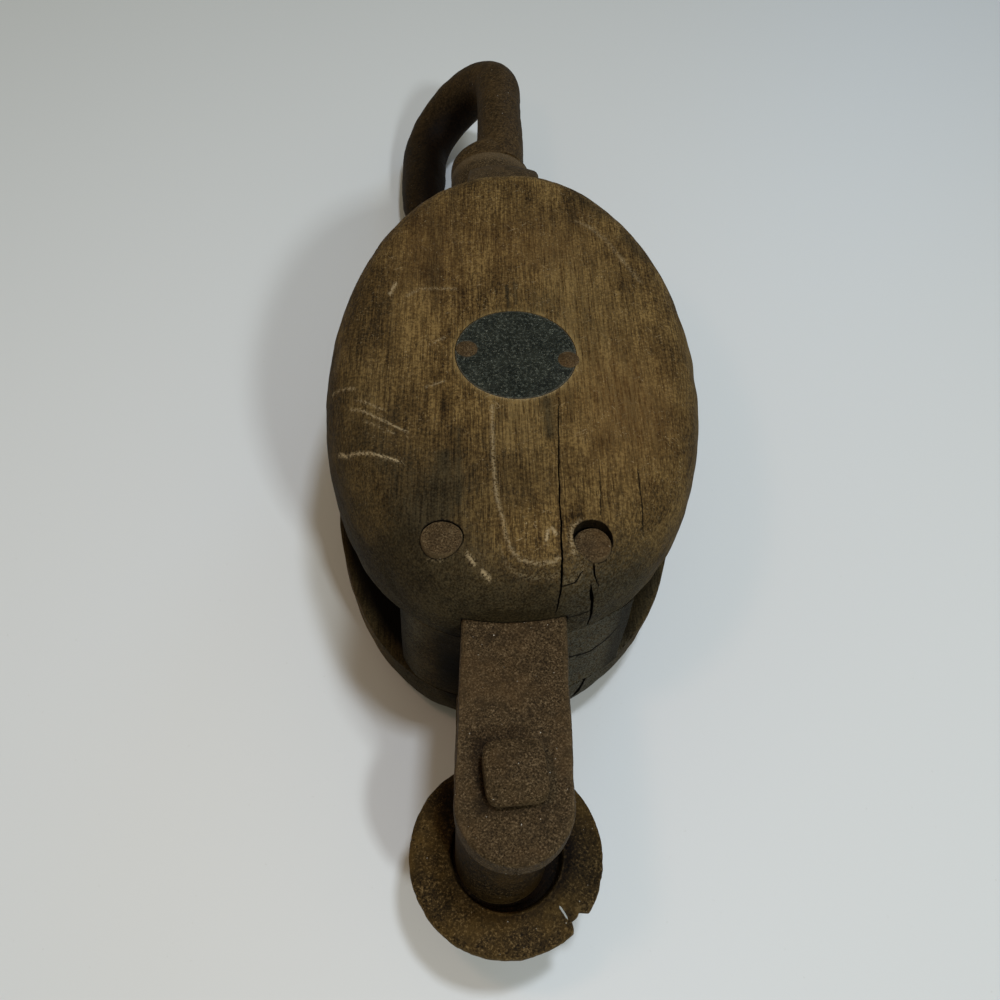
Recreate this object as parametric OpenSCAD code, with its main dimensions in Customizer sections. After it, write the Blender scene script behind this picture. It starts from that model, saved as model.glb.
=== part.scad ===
// Wooden single block with an inner iron strap, a swivel hook and a becket.
// The block lies on its lower cheek. The origin is on the table under the sheave
// pin, +Y runs along the strap to the hook, +X to the right and +Z up.

/* [Shell] */
// Length of the wooden shell, an 8 inch block
shell_l = 203; // [198:1:208]
// Width of the wooden shell
shell_w = 129.7; // [127:0.1:133]
// Thickness of one cheek
cheek_t = 29.5; // [28:0.5:32]
// Gap between the cheeks, where the sheave turns
sheave_gap = 38.5; // [36:0.5:42]
// How far the rounded outer edge of a cheek runs in from its side
edge_in = 15; // [12:0.5:18]
// Height of the upright wall of a cheek at the sheave gap
wall_h = 5.5; // [4:0.5:9]
// Distance of the shell's middle from the pin, towards the hook
shell_dy = 6.4; // [4:0.1:8]
// How far the old shell sits to the right of the strap
shell_dx = 2.7; // [0:0.1:3]
// How far the old shell is out of line with the strap, in degrees
shell_turn = -1.1; // [-1.5:0.1:0]
// How far the becket end of the shell leans to the left
tail_left = 3.5; // [0:0.1:4]
// How much the becket end of the upper cheek is worn back
tail_worn = 1.8; // [0:0.1:2.5]

/* [Sheave and pin] */
// Diameter of the sheave, 4 3/4 inch
sheave_d = 120; // [116:1:121]
// Diameter of the rope that the sheave takes
rope_d = 25.4; // [22:0.1:26]
// Depth of the rope groove
groove_depth = 9.5; // [7:0.5:11]
// Diameter of the sheave pin, 3/4 inch
pin_d = 19; // [17:0.5:20]
// Diameter of the round plates over the pin's ends
plate_d = 41.2; // [39:0.1:44]
// Thickness of a pin plate
plate_t = 1.6; // [1.2:0.1:2]

/* [Strap] */
// Width of the iron strap
strap_w = 31; // [30:0.5:32]
// Thickness of the iron strap
strap_t = 9.6; // [8:0.1:10]
// Distance of the becket bolt from the pin
bolt_y = 137.8; // [136:0.1:142]
// Distance of the strap's round ends from the pin
strap_end_y = 160; // [158:0.1:164]
// Distance of the crown's outer face from the pin
crown_y = 162; // [160:0.5:166]

/* [Hook] */
// Diameter of the hook's shank
shank_d = 19; // [17:0.5:20]
// Radius of the hook's collar
collar_r = 19; // [18:0.1:20]
// Thickness of the hook's neck
neck_d = 20.4; // [19:0.1:22]
// Thickness of the hook's bowl
bowl_d = 25; // [23:0.1:26]
// Thickness of the hook's bill
bill_d = 23.4; // [21:0.1:24]
// Distance from the swivel's axis to the middle of the bill
bill_out = 50.5; // [48:0.5:52]
// Distance from the swivel's axis back to the middle of the neck
neck_back = 6.5; // [5:0.1:7]
// Distance of the middle of the hook's bowl from the pin
bowl_y = 228; // [225:0.5:232]
// Distance of the bill's point from the pin
bill_end_y = 176; // [172:0.5:182]
// How far the eye in the crown is to the left of the strap's middle
eye_left = 2; // [0:0.1:2]

/* [Becket] */
// Diameter of the becket bolt, 1/2 inch
bolt_d = 12.7; // [12:0.1:13]
// Lean of the bent becket bolt, in degrees
bolt_lean = 4.5; // [2:0.5:4.5]
// Width over the flats of the bolt's square head
bolt_head_w = 16.2; // [16:0.1:18]
// Outer diameter of the thimble's barrel
barrel_d = 27.8; // [26.5:0.1:28]
// Bore of the thimble's barrel
barrel_bore_d = 23.6; // [22:0.1:24]
// Diameter of the thimble's flange
flange_d = 58.2; // [57:0.1:59]

/* [Shell fastenings] */
// Distance of the two shell rivets from the pin
rivet_y = 75; // [74:0.1:76]
// Distance between the two shell rivets
rivet_pitch = 44.7; // [44:0.1:46]
// Diameter of a shell rivet
rivet_d = 8; // [7:0.1:8]
// Diameter of a shell rivet's head
rivet_head_d = 12.4; // [12:0.1:13]

/* [Hidden] */

// Levels above the table
low_z = cheek_t;
up_z = cheek_t + sheave_gap;
top_z = up_z + cheek_t;
mid_z = low_z + sheave_gap / 2;

// Clearances: a close fit that doesn't move, a running fit and a loose one
snug = 0.03;
run = 0.08;
loose = 0.3;

// The outline is an ellipse at the hook's end and a fuller one at the becket's end
hook_end_power = 2 / 2.02;
becket_end_power = 2 / 2.17;
outline_steps = 64;
edge_steps = 6;

// Sheave, bush and their parts
sheave_r = sheave_d / 2;
sheave_side = 0.4;
sheave_t = sheave_gap - 2 * sheave_side;
groove_r = rope_d / 2 + 1;
groove_floor_r = sheave_r - groove_depth;
bush_r = 14.5;
bush_plate_t = 2;
bush_plate_r = 20;
lobe_ring_r = 21;
lobe_r = 6.5;
bush_rivet_r = 2.4;
// The sheave's sides are cut back outside its hub
hub_face_r = 31;
side_relief = 0.8;

// Pin, plates and nails
pin_r = pin_d / 2;
plate_r = plate_d / 2;
plate_dx = 2.8;
plate_dy = -0.4;
nail_ring_r = 17.1;
nail_turn = -5.4;
nail_head_r = 3.6;
nail_head_t = 0.9;
nail_r = 1.7;
nail_l = 17;
pin_end_gap = 0.3;

// Strap
leg_in_r = sheave_gap / 2;
leg_out_r = leg_in_r + strap_t;
crown_boss_r = strap_w / 2 + 1;
crown_boss_t = 25;
crown_boss_proud = 10;
crown_edge_r = 4;
arch_y = crown_y - crown_boss_proud - leg_out_r;
boss_in_y = crown_y - crown_boss_t;

// Hook: the shank turns in the crown's eye and is riveted over a washer
shank_r = shank_d / 2;
collar_t = 2;
collar_cove_r = collar_r - neck_d / 2;
washer_t = 3;
washer_r = 12.5;
shank_head_t = 7.4;
shank_head_r = 12;
washer_y = boss_in_y - run - washer_t;
shank_head_y = washer_y - shank_head_t;
collar_y = crown_y + run;
bowl_mid_out = (bill_out - neck_back) / 2;
bowl_r = (bill_out + neck_back) / 2;
hook_sides = 20;
neck_steps = 7;
bowl_steps = 20;
bill_steps = 9;
bill_tip_d = 13;
bill_tip_l = 3;
foot_flare = 3;
floor_gap = 0.3;
// The hook hangs down until its bill touches the table
hook_drop = asin((mid_z - bill_d / 2 - floor_gap) / bill_out);

// Becket
bolt_r = bolt_d / 2;
bolt_head_h = 6.4;
bolt_head_turn = 6;
bolt_dome_r = 22;
// Cut-off corners of the head and the nut, as a share of their width
corner_share = 0.65;
// Half of a square's diagonal, as a share of its width
half_diagonal = sqrt(0.5);
nut_w = 19;
nut_h = 9.5;
bolt_end_z = low_z - strap_t - nut_h - 4;
// The leaning bolt's pivot is on the strap's top face, and its square head and nut
// stand off the strap by what the lean lifts one edge
pivot_z = up_z + strap_t;
head_seat_z = pivot_z + half_diagonal * bolt_head_w * sin(bolt_lean);
nut_seat_z = low_z - strap_t - half_diagonal * nut_w * sin(bolt_lean);
nut_turn = 18;
barrel_r = barrel_d / 2;
barrel_bore_r = barrel_bore_d / 2;
barrel_slack = barrel_bore_r - bolt_r - run;
// The barrel hangs off the bolt, away from the shell and a little to the left
barrel_way = 20;
barrel_x = -barrel_slack * sin(barrel_way);
barrel_y = -barrel_slack * cos(barrel_way);
// The loose flange lies level on the lower leg, pushed to the right round the barrel
flange_r = flange_d / 2;
flange_bore_r = barrel_r + 2.5;
flange_t = 2.2;
flange_rise = 1.8;
// Its hub goes down to a thin seat, over which the barrel's foot stands
flange_hub_r = flange_bore_r + 1.8;
flange_seat_r = 11;
flange_seat_t = 0.8;
flange_z = low_z + loose;
flange_shift = [1.7, 1.2];
flange_x = barrel_x + flange_shift[0];
flange_y = -bolt_y + barrel_y * cos(bolt_lean) + flange_shift[1]
    + (flange_z + flange_rise - pivot_z + barrel_y * sin(bolt_lean)) * tan(bolt_lean);
flange_steps = 9;
barrel_low_z = low_z + 2 * loose + flange_seat_t + (barrel_r + barrel_y) * sin(bolt_lean);
barrel_top_z = up_z - loose - (barrel_r - barrel_y) * sin(bolt_lean);

// Shell rivets and dowels
rivet_x = 1.8;
rivet_r = rivet_d / 2;
rivet_head_r = rivet_head_d / 2;
rivet_head_t = 3;
burr_r = 7;
burr_t = 2;
burr_z = 4;
// Depth of each rivet's head below the top of the cheek, left and right
rivet_sunk = [0.6, 3];
rivet_well_r = [rivet_head_r + 0.15, rivet_head_r + 1.25];
rivet_well_shift = [0, 0.7];
dowel_r = 5;
dowel_x = 24;
dowel_y = 88;
dowel_in = 14;

// End blocks
block_half_w = 35.5;
swallow_r = groove_floor_r + rope_d + 1.6;
tail_gap_r = sheave_r + 2.5;

// Outline of the shell, drawn in from its side by the inset, with its becket end
// leaning to the left and worn back
function signed_power(v, p) = sign(v) * pow(abs(v), p);
function shell_point(a, inset, worn) =
    let (p = sin(a) > 0 ? hook_end_power : becket_end_power,
         tail = max(0, -sin(a)))
    [(shell_w / 2 - inset) * signed_power(cos(a), p) - tail_left * pow(tail, 4),
     (shell_l / 2 - inset) * signed_power(sin(a), p) + worn * tail * tail];
function shell_ring(inset, worn) =
    [for (i = [0 : outline_steps - 1]) shell_point(360 * i / outline_steps, inset, worn)];

module shell_place() {
    translate([shell_dx, shell_dy, 0]) rotate(shell_turn) children();
}

// Wooden shell

// One cheek with its flat inner face at z = 0 and its pillow-shaped face upwards
module cheek_form(worn) {
    levels = concat([[0, 0]],
        [for (i = [0 : edge_steps])
            let (a = 90 * i / edge_steps)
            [edge_in * (1 - cos(a)), wall_h + (cheek_t - wall_h) * sin(a)]]);
    points = [for (v = levels) for (p = shell_ring(v[0], worn)) [p[0], p[1], v[1]]];
    rows = len(levels);
    n = outline_steps;
    sides = [for (r = [0 : rows - 2]) for (i = [0 : n - 1])
        [r * n + i, (r + 1) * n + i, (r + 1) * n + (i + 1) % n, r * n + (i + 1) % n]];
    bottom = [for (i = [0 : n - 1]) i];
    top = [for (i = [n - 1 : -1 : 0]) (rows - 1) * n + i];
    shell_place() polyhedron(points, concat(sides, [bottom, top]), convexity = 6);
}

// The score is the channel in a cheek's inner face that holds a leg of the strap
module strap_score() {
    score_w = strap_w + 2 * loose;
    score_l = 2 * shell_l;
    translate([-score_w / 2, -score_l / 2, -1]) cube([score_w, score_l, strap_t + run + 1]);
}

// Holes that both cheeks have, from the inner face at z = 0
module cheek_holes() {
    strap_score();
    translate([0, 0, -1]) cylinder(r = pin_r + snug, h = cheek_t + 2, $fn = 64);
    for (side = [0, 1])
        translate([rivet_place(side)[0], rivet_place(side)[1], -1])
            cylinder(r = rivet_r + snug, h = cheek_t + 2, $fn = 48);
    for (side = [-1, 1])
        translate([shell_dx + side * dowel_x, dowel_y, -1])
            cylinder(r = dowel_r + snug, h = dowel_in + 1.4, $fn = 48);
}

function rivet_place(side) = [rivet_x + (side - 0.5) * rivet_pitch, -rivet_y];

// Recess for a pin plate and its nails, cut down from z = 0
module plate_recess(depth) {
    translate([plate_dx, plate_dy, -depth]) {
        cylinder(r = plate_r + loose, h = depth + 1, $fn = 96);
        for (side = [0, 180]) rotate(nail_turn + side) translate([nail_ring_r, 0, 0]) {
            translate([0, 0, -nail_l]) cylinder(r = nail_r + snug, h = nail_l + 1, $fn = 32);
            cylinder(r = nail_head_r + 0.15, h = depth + 1, $fn = 32);
        }
    }
}

module upper_cheek() {
    color("#5f4a2e") difference() {
        translate([0, 0, up_z]) difference() {
            cheek_form(tail_worn);
            cheek_holes();
        }
        translate([0, 0, top_z]) plate_recess(plate_t);
        for (side = [0, 1])
            translate([rivet_place(side)[0] + rivet_well_shift[side],
                       rivet_place(side)[1] + rivet_well_shift[side],
                       top_z - rivet_sunk[side] - rivet_head_t])
                cylinder(r = rivet_well_r[side], h = cheek_t, $fn = 48);
    }
}

module lower_cheek() {
    color("#553f27") difference() {
        translate([0, 0, low_z]) mirror([0, 0, 1]) difference() {
            cheek_form(0);
            cheek_holes();
        }
        mirror([0, 0, 1]) plate_recess(plate_t);
        for (side = [0, 1])
            translate([rivet_place(side)[0], rivet_place(side)[1], -1])
                cylinder(r = burr_r + 0.15, h = burr_z + burr_t + 1, $fn = 48);
    }
}

// A block between the cheeks at one end of the shell, hollowed round the pin
module end_block(is_hook_end, hollow_r) {
    translate([0, 0, low_z]) linear_extrude(sheave_gap) difference() {
        intersection() {
            shell_place() polygon(shell_ring(loose, 0));
            translate([-block_half_w + shell_dx / 2, is_hook_end ? 0 : -shell_l])
                square([2 * block_half_w, shell_l]);
        }
        circle(r = hollow_r, $fn = 128);
    }
}

module hook_end_block() {
    color("#4d3a24") difference() {
        end_block(true, swallow_r);
        for (side = [-1, 1])
            translate([shell_dx + side * dowel_x, dowel_y, low_z - 1])
                cylinder(r = dowel_r + snug, h = sheave_gap + 2, $fn = 48);
    }
}

module becket_end_block() {
    color("#4d3a24") difference() {
        end_block(false, tail_gap_r);
        for (side = [0, 1])
            translate([rivet_place(side)[0], rivet_place(side)[1], low_z - 1])
                cylinder(r = rivet_r + snug, h = sheave_gap + 2, $fn = 48);
    }
}

// Blind wooden dowels that hold the hook's end of the shell together
module hook_end_dowels() {
    color("#6b5433") for (side = [-1, 1])
        translate([shell_dx + side * dowel_x, dowel_y, low_z - dowel_in])
            cylinder(r = dowel_r, h = sheave_gap + 2 * dowel_in, $fn = 48);
}

// Iron fastenings of the shell

module shell_rivets() {
    color("#5c4330") for (side = [0, 1]) {
        head_z = top_z - rivet_sunk[side] - rivet_head_t;
        translate([rivet_place(side)[0], rivet_place(side)[1], 0]) {
            translate([0, 0, burr_z - 1.4])
                cylinder(r = rivet_r, h = head_z - burr_z + 2.4, $fn = 48);
            translate([0, 0, head_z]) cylinder(r = rivet_head_r, h = rivet_head_t, $fn = 48);
            // The end hammered over its washer
            translate([0, 0, burr_z - 1.5]) cylinder(r = rivet_r + 1.2, h = 1.5, $fn = 48);
        }
    }
}

module rivet_washers() {
    color("#4a3828") for (side = [0, 1])
        translate([rivet_place(side)[0], rivet_place(side)[1], burr_z]) difference() {
            cylinder(r = burr_r, h = burr_t, $fn = 48);
            translate([0, 0, -1]) cylinder(r = rivet_r + snug, h = burr_t + 2, $fn = 48);
        }
}

// Iron strap: two legs inside the cheeks, an arched crown with an eye

module strap_leg() {
    leg_from = -strap_end_y + strap_w / 2;
    translate([0, leg_from]) circle(d = strap_w, $fn = 96);
    translate([-strap_w / 2, leg_from]) square([strap_w, arch_y - leg_from]);
}

// The crown swells into a round boss with a rounded outer edge
module crown_boss_section() {
    square([crown_boss_r - crown_edge_r, crown_boss_t]);
    square([crown_boss_r, crown_boss_t - crown_edge_r]);
    translate([crown_boss_r - crown_edge_r, crown_boss_t - crown_edge_r])
        circle(r = crown_edge_r, $fn = 64);
}

module inner_strap() {
    color("#4b3c2b") difference() {
        union() {
            translate([0, 0, up_z]) linear_extrude(strap_t) strap_leg();
            translate([0, 0, low_z - strap_t]) linear_extrude(strap_t) strap_leg();
            translate([-strap_w / 2, arch_y, mid_z]) difference() {
                rotate([0, 90, 0]) cylinder(r = leg_out_r, h = strap_w, $fn = 128);
                translate([-1, 0, 0]) rotate([0, 90, 0])
                    cylinder(r = leg_in_r, h = strap_w + 2, $fn = 128);
                translate([-1, -2 * leg_out_r, -leg_out_r - 1])
                    cube([strap_w + 2, 2 * leg_out_r, 2 * leg_out_r + 2]);
            }
            translate([0, boss_in_y, mid_z]) rotate([-90, 0, 0])
                rotate_extrude($fn = 96) crown_boss_section();
        }
        // Eye for the hook's shank
        translate([-eye_left, boss_in_y - 1, mid_z]) rotate([-90, 0, 0])
            cylinder(r = shank_r + run, h = crown_boss_t + 2, $fn = 96);
        // Holes for the sheave pin and the becket bolt
        translate([0, 0, low_z - strap_t - 1])
            cylinder(r = pin_r + snug, h = sheave_gap + 2 * strap_t + 2, $fn = 64);
        becket_place() translate([0, 0, low_z - strap_t - 3])
            cylinder(r = bolt_r + snug, h = sheave_gap + 2 * strap_t + 6, $fn = 64);
    }
}

// Sheave pin, the plates over its ends and their nails

module sheave_pin() {
    color("#6a6a66") translate([0, 0, plate_t + pin_end_gap])
        cylinder(r = pin_r, h = top_z - 2 * (plate_t + pin_end_gap), $fn = 64);
}

// A plate with its outer face at z = 0
module pin_plate() {
    translate([plate_dx, plate_dy, -plate_t]) difference() {
        cylinder(r = plate_r, h = plate_t, $fn = 96);
        for (side = [0, 180]) rotate(nail_turn + side) translate([nail_ring_r, 0, -1])
            cylinder(r = nail_head_r + 0.15, h = plate_t + 2, $fn = 32);
    }
}

module upper_pin_plate() {
    color("#34352f") translate([0, 0, top_z]) pin_plate();
}

module lower_pin_plate() {
    color("#34352f") mirror([0, 0, 1]) pin_plate();
}

// Two nails with their heads' faces at z = 0, with a dome above it
module plate_nails(dome) {
    dome_r = (nail_head_r * nail_head_r + dome * dome) / (2 * max(dome, 0.1));
    translate([plate_dx, plate_dy, 0])
        for (side = [0, 180]) rotate(nail_turn + side) translate([nail_ring_r, 0, 0]) {
            translate([0, 0, -plate_t]) cylinder(r = nail_head_r, h = plate_t, $fn = 32);
            translate([0, 0, -plate_t - nail_l + 1]) cylinder(r = nail_r, h = nail_l, $fn = 32);
            if (dome > 0) intersection() {
                translate([0, 0, dome - dome_r]) sphere(r = dome_r, $fn = 48);
                cylinder(r = nail_head_r, h = 2 * dome, $fn = 32);
            }
        }
}

module upper_plate_nails() {
    color("#5b3a26") translate([0, 0, top_z]) plate_nails(nail_head_t);
}

module lower_plate_nails() {
    color("#5b3a26") mirror([0, 0, 1]) plate_nails(0);
}

// Sheave with its bush, which turn together on the pin

module sheave_section() {
    half_t = sheave_t / 2;
    groove_mid = groove_floor_r + groove_r;
    difference() {
        translate([bush_r + snug, -half_t]) square([sheave_r - bush_r - snug, sheave_t]);
        translate([groove_mid, 0]) circle(r = groove_r, $fn = 96);
        translate([hub_face_r, half_t - side_relief]) square([sheave_r, sheave_t]);
        translate([hub_face_r, side_relief - half_t - sheave_t]) square([sheave_r, sheave_t]);
    }
}

module bush_plate_shape(grow) {
    circle(r = bush_plate_r + grow, $fn = 96);
    for (a = [90, 210, 330]) rotate(a) translate([lobe_ring_r, 0])
        circle(r = lobe_r + grow, $fn = 48);
}

module bush_rivet_places() {
    for (a = [90, 210, 330]) rotate(a) translate([lobe_ring_r, 0, 0]) children();
}

module sheave() {
    color("#3d2c1d") translate([0, 0, mid_z]) difference() {
        rotate_extrude($fn = 160) sheave_section();
        for (side = [0, 1]) mirror([0, 0, side])
            translate([0, 0, sheave_t / 2 - bush_plate_t])
                linear_extrude(bush_plate_t + 1) bush_plate_shape(snug);
        bush_rivet_places() translate([0, 0, -sheave_t])
            cylinder(r = bush_rivet_r + snug, h = 2 * sheave_t, $fn = 32);
    }
}

module sheave_bush() {
    bush_l = sheave_t - 2 * bush_plate_t;
    color("#8a6a34") translate([0, 0, mid_z - bush_l / 2]) difference() {
        cylinder(r = bush_r, h = bush_l, $fn = 96);
        translate([0, 0, -1]) cylinder(r = pin_r + run, h = bush_l + 2, $fn = 96);
    }
}

module bush_plate() {
    translate([0, 0, sheave_t / 2 - bush_plate_t]) difference() {
        linear_extrude(bush_plate_t) bush_plate_shape(0);
        translate([0, 0, -1]) cylinder(r = pin_r + run, h = bush_plate_t + 2, $fn = 96);
        bush_rivet_places() translate([0, 0, -1])
            cylinder(r = bush_rivet_r + snug, h = bush_plate_t + 2, $fn = 32);
    }
}

module upper_bush_plate() {
    color("#8a6a34") translate([0, 0, mid_z]) bush_plate();
}

module lower_bush_plate() {
    color("#8a6a34") translate([0, 0, mid_z]) mirror([0, 0, 1]) bush_plate();
}

module bush_rivets() {
    color("#9a7a40") translate([0, 0, mid_z - sheave_t / 2]) bush_rivet_places()
        cylinder(r = bush_rivet_r, h = sheave_t, $fn = 32);
}

// Swivel hook

// Each station of the hook's spine is its place out from the swivel's axis, its
// place along Y, its heading and the thickness there
function blend(a, b, t) = a + (b - a) * (3 - 2 * t) * t * t;
function hook_spine() = concat(
    [for (i = [0 : neck_steps - 1])
        let (t = i / neck_steps, from = collar_y + 1)
        [-neck_back, from + (bowl_y - from) * t, 90,
         neck_d + foot_flare * pow(max(0, 1 - 3 * t), 2)]],
    [for (i = [0 : bowl_steps])
        let (a = 180 - 180 * i / bowl_steps, t = i / bowl_steps)
        [bowl_mid_out + bowl_r * cos(a), bowl_y + bowl_r * sin(a), a - 90,
         t < 0.5 ? blend(neck_d, bowl_d, 2 * t) : blend(bowl_d, bill_d, 2 * t - 1)]],
    [for (i = [1 : bill_steps])
        let (t = i / bill_steps)
        [bill_out, bowl_y - (bowl_y - bill_end_y) * t, -90,
         bill_d - (bill_d - bill_tip_d) * pow(t, 3.5)]]);

module hook_form() {
    spine = hook_spine();
    n = hook_sides;
    rows = len(spine);
    ring_points = [for (s = spine) for (k = [0 : n - 1])
        let (a = 360 * k / n, across = s[3] / 2 * cos(a))
        [s[0] - across * sin(s[2]), s[1] + across * cos(s[2]), s[3] / 2 * sin(a)]];
    points = concat(ring_points,
        [[spine[0][0], spine[0][1], 0],
         [bill_out, bill_end_y - bill_tip_l, 0]]);
    sides = [for (r = [0 : rows - 2]) for (k = [0 : n - 1])
        [r * n + k, (r + 1) * n + k, (r + 1) * n + (k + 1) % n, r * n + (k + 1) % n]];
    foot = [for (k = [0 : n - 1]) [k, (k + 1) % n, rows * n]];
    tip = [for (k = [0 : n - 1])
        [(rows - 1) * n + (k + 1) % n, (rows - 1) * n + k, rows * n + 1]];
    polyhedron(points, concat(sides, foot, tip), convexity = 8);
}

// The hook's collar sweeps up to the neck in a cove
module collar_section() {
    square([collar_r, collar_t]);
    difference() {
        square([collar_r, collar_t + collar_cove_r]);
        translate([collar_r, collar_t + collar_cove_r])
            circle(r = collar_cove_r, $fn = 96);
    }
}

module hook() {
    shank_l = collar_y + 1 - shank_head_y;
    color("#3f3122") translate([-eye_left, 0, mid_z]) union() {
        rotate([0, 180 - hook_drop, 0]) hook_form();
        translate([0, shank_head_y, 0]) rotate([-90, 0, 0])
            cylinder(r = shank_r, h = shank_l, $fn = 96);
        translate([0, shank_head_y, 0]) rotate([-90, 0, 0])
            cylinder(r = shank_head_r, h = shank_head_t - run, $fn = 64);
        translate([0, collar_y, 0]) rotate([-90, 0, 0])
            rotate_extrude($fn = 96) collar_section();
    }
}

module hook_washer() {
    color("#4a3828") translate([-eye_left, washer_y, mid_z]) rotate([-90, 0, 0]) difference() {
        cylinder(r = washer_r, h = washer_t, $fn = 64);
        translate([0, 0, -1]) cylinder(r = shank_r + snug, h = washer_t + 2, $fn = 64);
    }
}

// Becket: a bolt through the strap's ends holds a barrel and its dished flange

// Stands pieces made round x = y = 0 on the leaning axis of the bolt
module becket_place() {
    translate([0, -bolt_y, pivot_z]) rotate([-bolt_lean, 0, 0])
        translate([0, 0, -pivot_z]) children();
}

module becket_bolt() {
    shank_l = head_seat_z + 1 - bolt_end_z;
    color("#4b3c2b") becket_place() {
        translate([0, 0, bolt_end_z]) cylinder(r = bolt_r, h = shank_l, $fn = 64);
        translate([0, 0, head_seat_z]) rotate(bolt_head_turn) intersection() {
            translate([-bolt_head_w / 2, -bolt_head_w / 2, 0])
                cube([bolt_head_w, bolt_head_w, bolt_head_h]);
            translate([0, 0, bolt_head_h - bolt_dome_r]) sphere(r = bolt_dome_r, $fn = 96);
            cylinder(r = bolt_head_w * corner_share, h = bolt_head_h, $fn = 64);
        }
    }
}

module becket_nut() {
    color("#4b3c2b") becket_place() translate([0, 0, nut_seat_z - nut_h]) rotate(nut_turn)
        difference() {
            intersection() {
                translate([-nut_w / 2, -nut_w / 2, 0]) cube([nut_w, nut_w, nut_h]);
                cylinder(r = nut_w * corner_share, h = nut_h, $fn = 64);
            }
            translate([0, 0, -1]) cylinder(r = bolt_r + snug, h = nut_h + 2, $fn = 64);
        }
}

module becket_barrel() {
    barrel_l = barrel_top_z - barrel_low_z;
    color("#5d3d22") becket_place() translate([barrel_x, barrel_y, barrel_low_z]) difference() {
        cylinder(r = barrel_r, h = barrel_l, $fn = 96);
        translate([0, 0, -1]) cylinder(r = barrel_bore_r, h = barrel_l + 2, $fn = 96);
    }
}

// Height of the dished flange above its turned-down rim at a distance from its middle
function flange_height(r) =
    flange_rise * (1 - pow((r - flange_bore_r) / (flange_r - flange_bore_r), 3));

// Half of the flange's section: its seat, its hub and its dished sheet
function flange_section() = concat(
    [[flange_seat_r, 0], [flange_hub_r, 0]],
    [for (i = [0 : flange_steps])
        let (r = flange_hub_r + (flange_r - flange_hub_r) * i / flange_steps)
        [r, flange_height(r)]],
    [for (i = [flange_steps : -1 : 0])
        let (r = flange_bore_r + (flange_r - flange_bore_r) * i / flange_steps)
        [r, flange_height(r) + flange_t]],
    [[flange_bore_r, flange_seat_t], [flange_seat_r, flange_seat_t]]);

module thimble_flange() {
    color("#5a4128") translate([flange_x, flange_y, flange_z]) difference() {
        rotate_extrude($fn = 96) polygon(flange_section());
        // The piece broken out of the rim
        translate([0, 0, -1]) linear_extrude(flange_rise + flange_t + 2)
            polygon([[26, -16.8], [20.9, -16.6], [20.3, -18], [18.4, -19.6], [19.1, -20.7],
                     [18.5, -21.7], [21, -28], [32, -20]]);
    }
}

upper_cheek();
lower_cheek();
hook_end_block();
becket_end_block();
hook_end_dowels();
shell_rivets();
rivet_washers();
inner_strap();
sheave_pin();
upper_pin_plate();
lower_pin_plate();
upper_plate_nails();
lower_plate_nails();
sheave();
sheave_bush();
upper_bush_plate();
lower_bush_plate();
bush_rivets();
hook();
hook_washer();
becket_bolt();
becket_nut();
becket_barrel();
thimble_flange();
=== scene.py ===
# %% [markdown]
# # An old wooden block with a swivel hook
#
# The object is a single wooden block from a ship: two oval cheeks, an iron strap inside them, a
# hook that swivels in the strap's crown, and a bolt with a loose thimble at the other end. Its
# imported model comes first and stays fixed. Each step then replaces what shows with a finer
# surface: worn and cracked wood, rusted iron, a dark iron plate.
#
# All shapes are worked out in millimetres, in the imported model's own frame: z = 0 is the table,
# the sheave's pin stands at x = y = 0, and +Y runs to the hook.

import bmesh
import bpy
import numpy as np
from mathutils import Matrix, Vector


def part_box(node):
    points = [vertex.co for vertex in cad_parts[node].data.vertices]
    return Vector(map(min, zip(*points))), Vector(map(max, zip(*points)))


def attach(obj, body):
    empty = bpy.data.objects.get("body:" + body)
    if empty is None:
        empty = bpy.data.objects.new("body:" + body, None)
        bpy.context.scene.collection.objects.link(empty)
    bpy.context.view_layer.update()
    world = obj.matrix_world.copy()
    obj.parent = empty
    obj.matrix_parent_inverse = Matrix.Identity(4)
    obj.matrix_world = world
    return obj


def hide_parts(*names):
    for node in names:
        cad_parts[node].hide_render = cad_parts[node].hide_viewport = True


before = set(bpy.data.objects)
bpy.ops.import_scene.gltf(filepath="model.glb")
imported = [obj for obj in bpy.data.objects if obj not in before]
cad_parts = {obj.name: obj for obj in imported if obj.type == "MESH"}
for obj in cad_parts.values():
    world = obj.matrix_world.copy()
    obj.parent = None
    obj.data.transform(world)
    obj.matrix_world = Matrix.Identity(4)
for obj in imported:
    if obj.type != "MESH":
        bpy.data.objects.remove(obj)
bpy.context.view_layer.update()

MM = 0.001


def node_box(name):
    """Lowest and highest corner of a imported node, in millimetres."""
    low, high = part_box(name)
    return np.array(low) / MM, np.array(high) / MM


# %% [markdown]
# ## Camera
#
# A camera can be aimed by hand or placed from measurements. This one is placed by measurement: it
# stands beyond the becket, looks down at about 54 degrees, and is turned and tilted a little.
# Its three axes are the columns of its matrix, so no target object is needed.

# %% Camera
IMAGE_PX = 1000
FOCAL_PX = 923.3
SENSOR_W = 36.0
CAMERA_PLACE = (-16.2, -221.2, 320.4)
LOOK_DOWN = np.radians(54.25)
LOOK_RIGHT = np.radians(4.52)
ROLL = np.radians(4.39)


def matrix_of(axes, place):
    """A matrix from three axes and a place in metres, as its columns."""
    matrix = Matrix.Identity(4)
    for row in range(3):
        matrix[row][:] = [*(axis[row] for axis in axes), place[row]]
    return matrix


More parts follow.
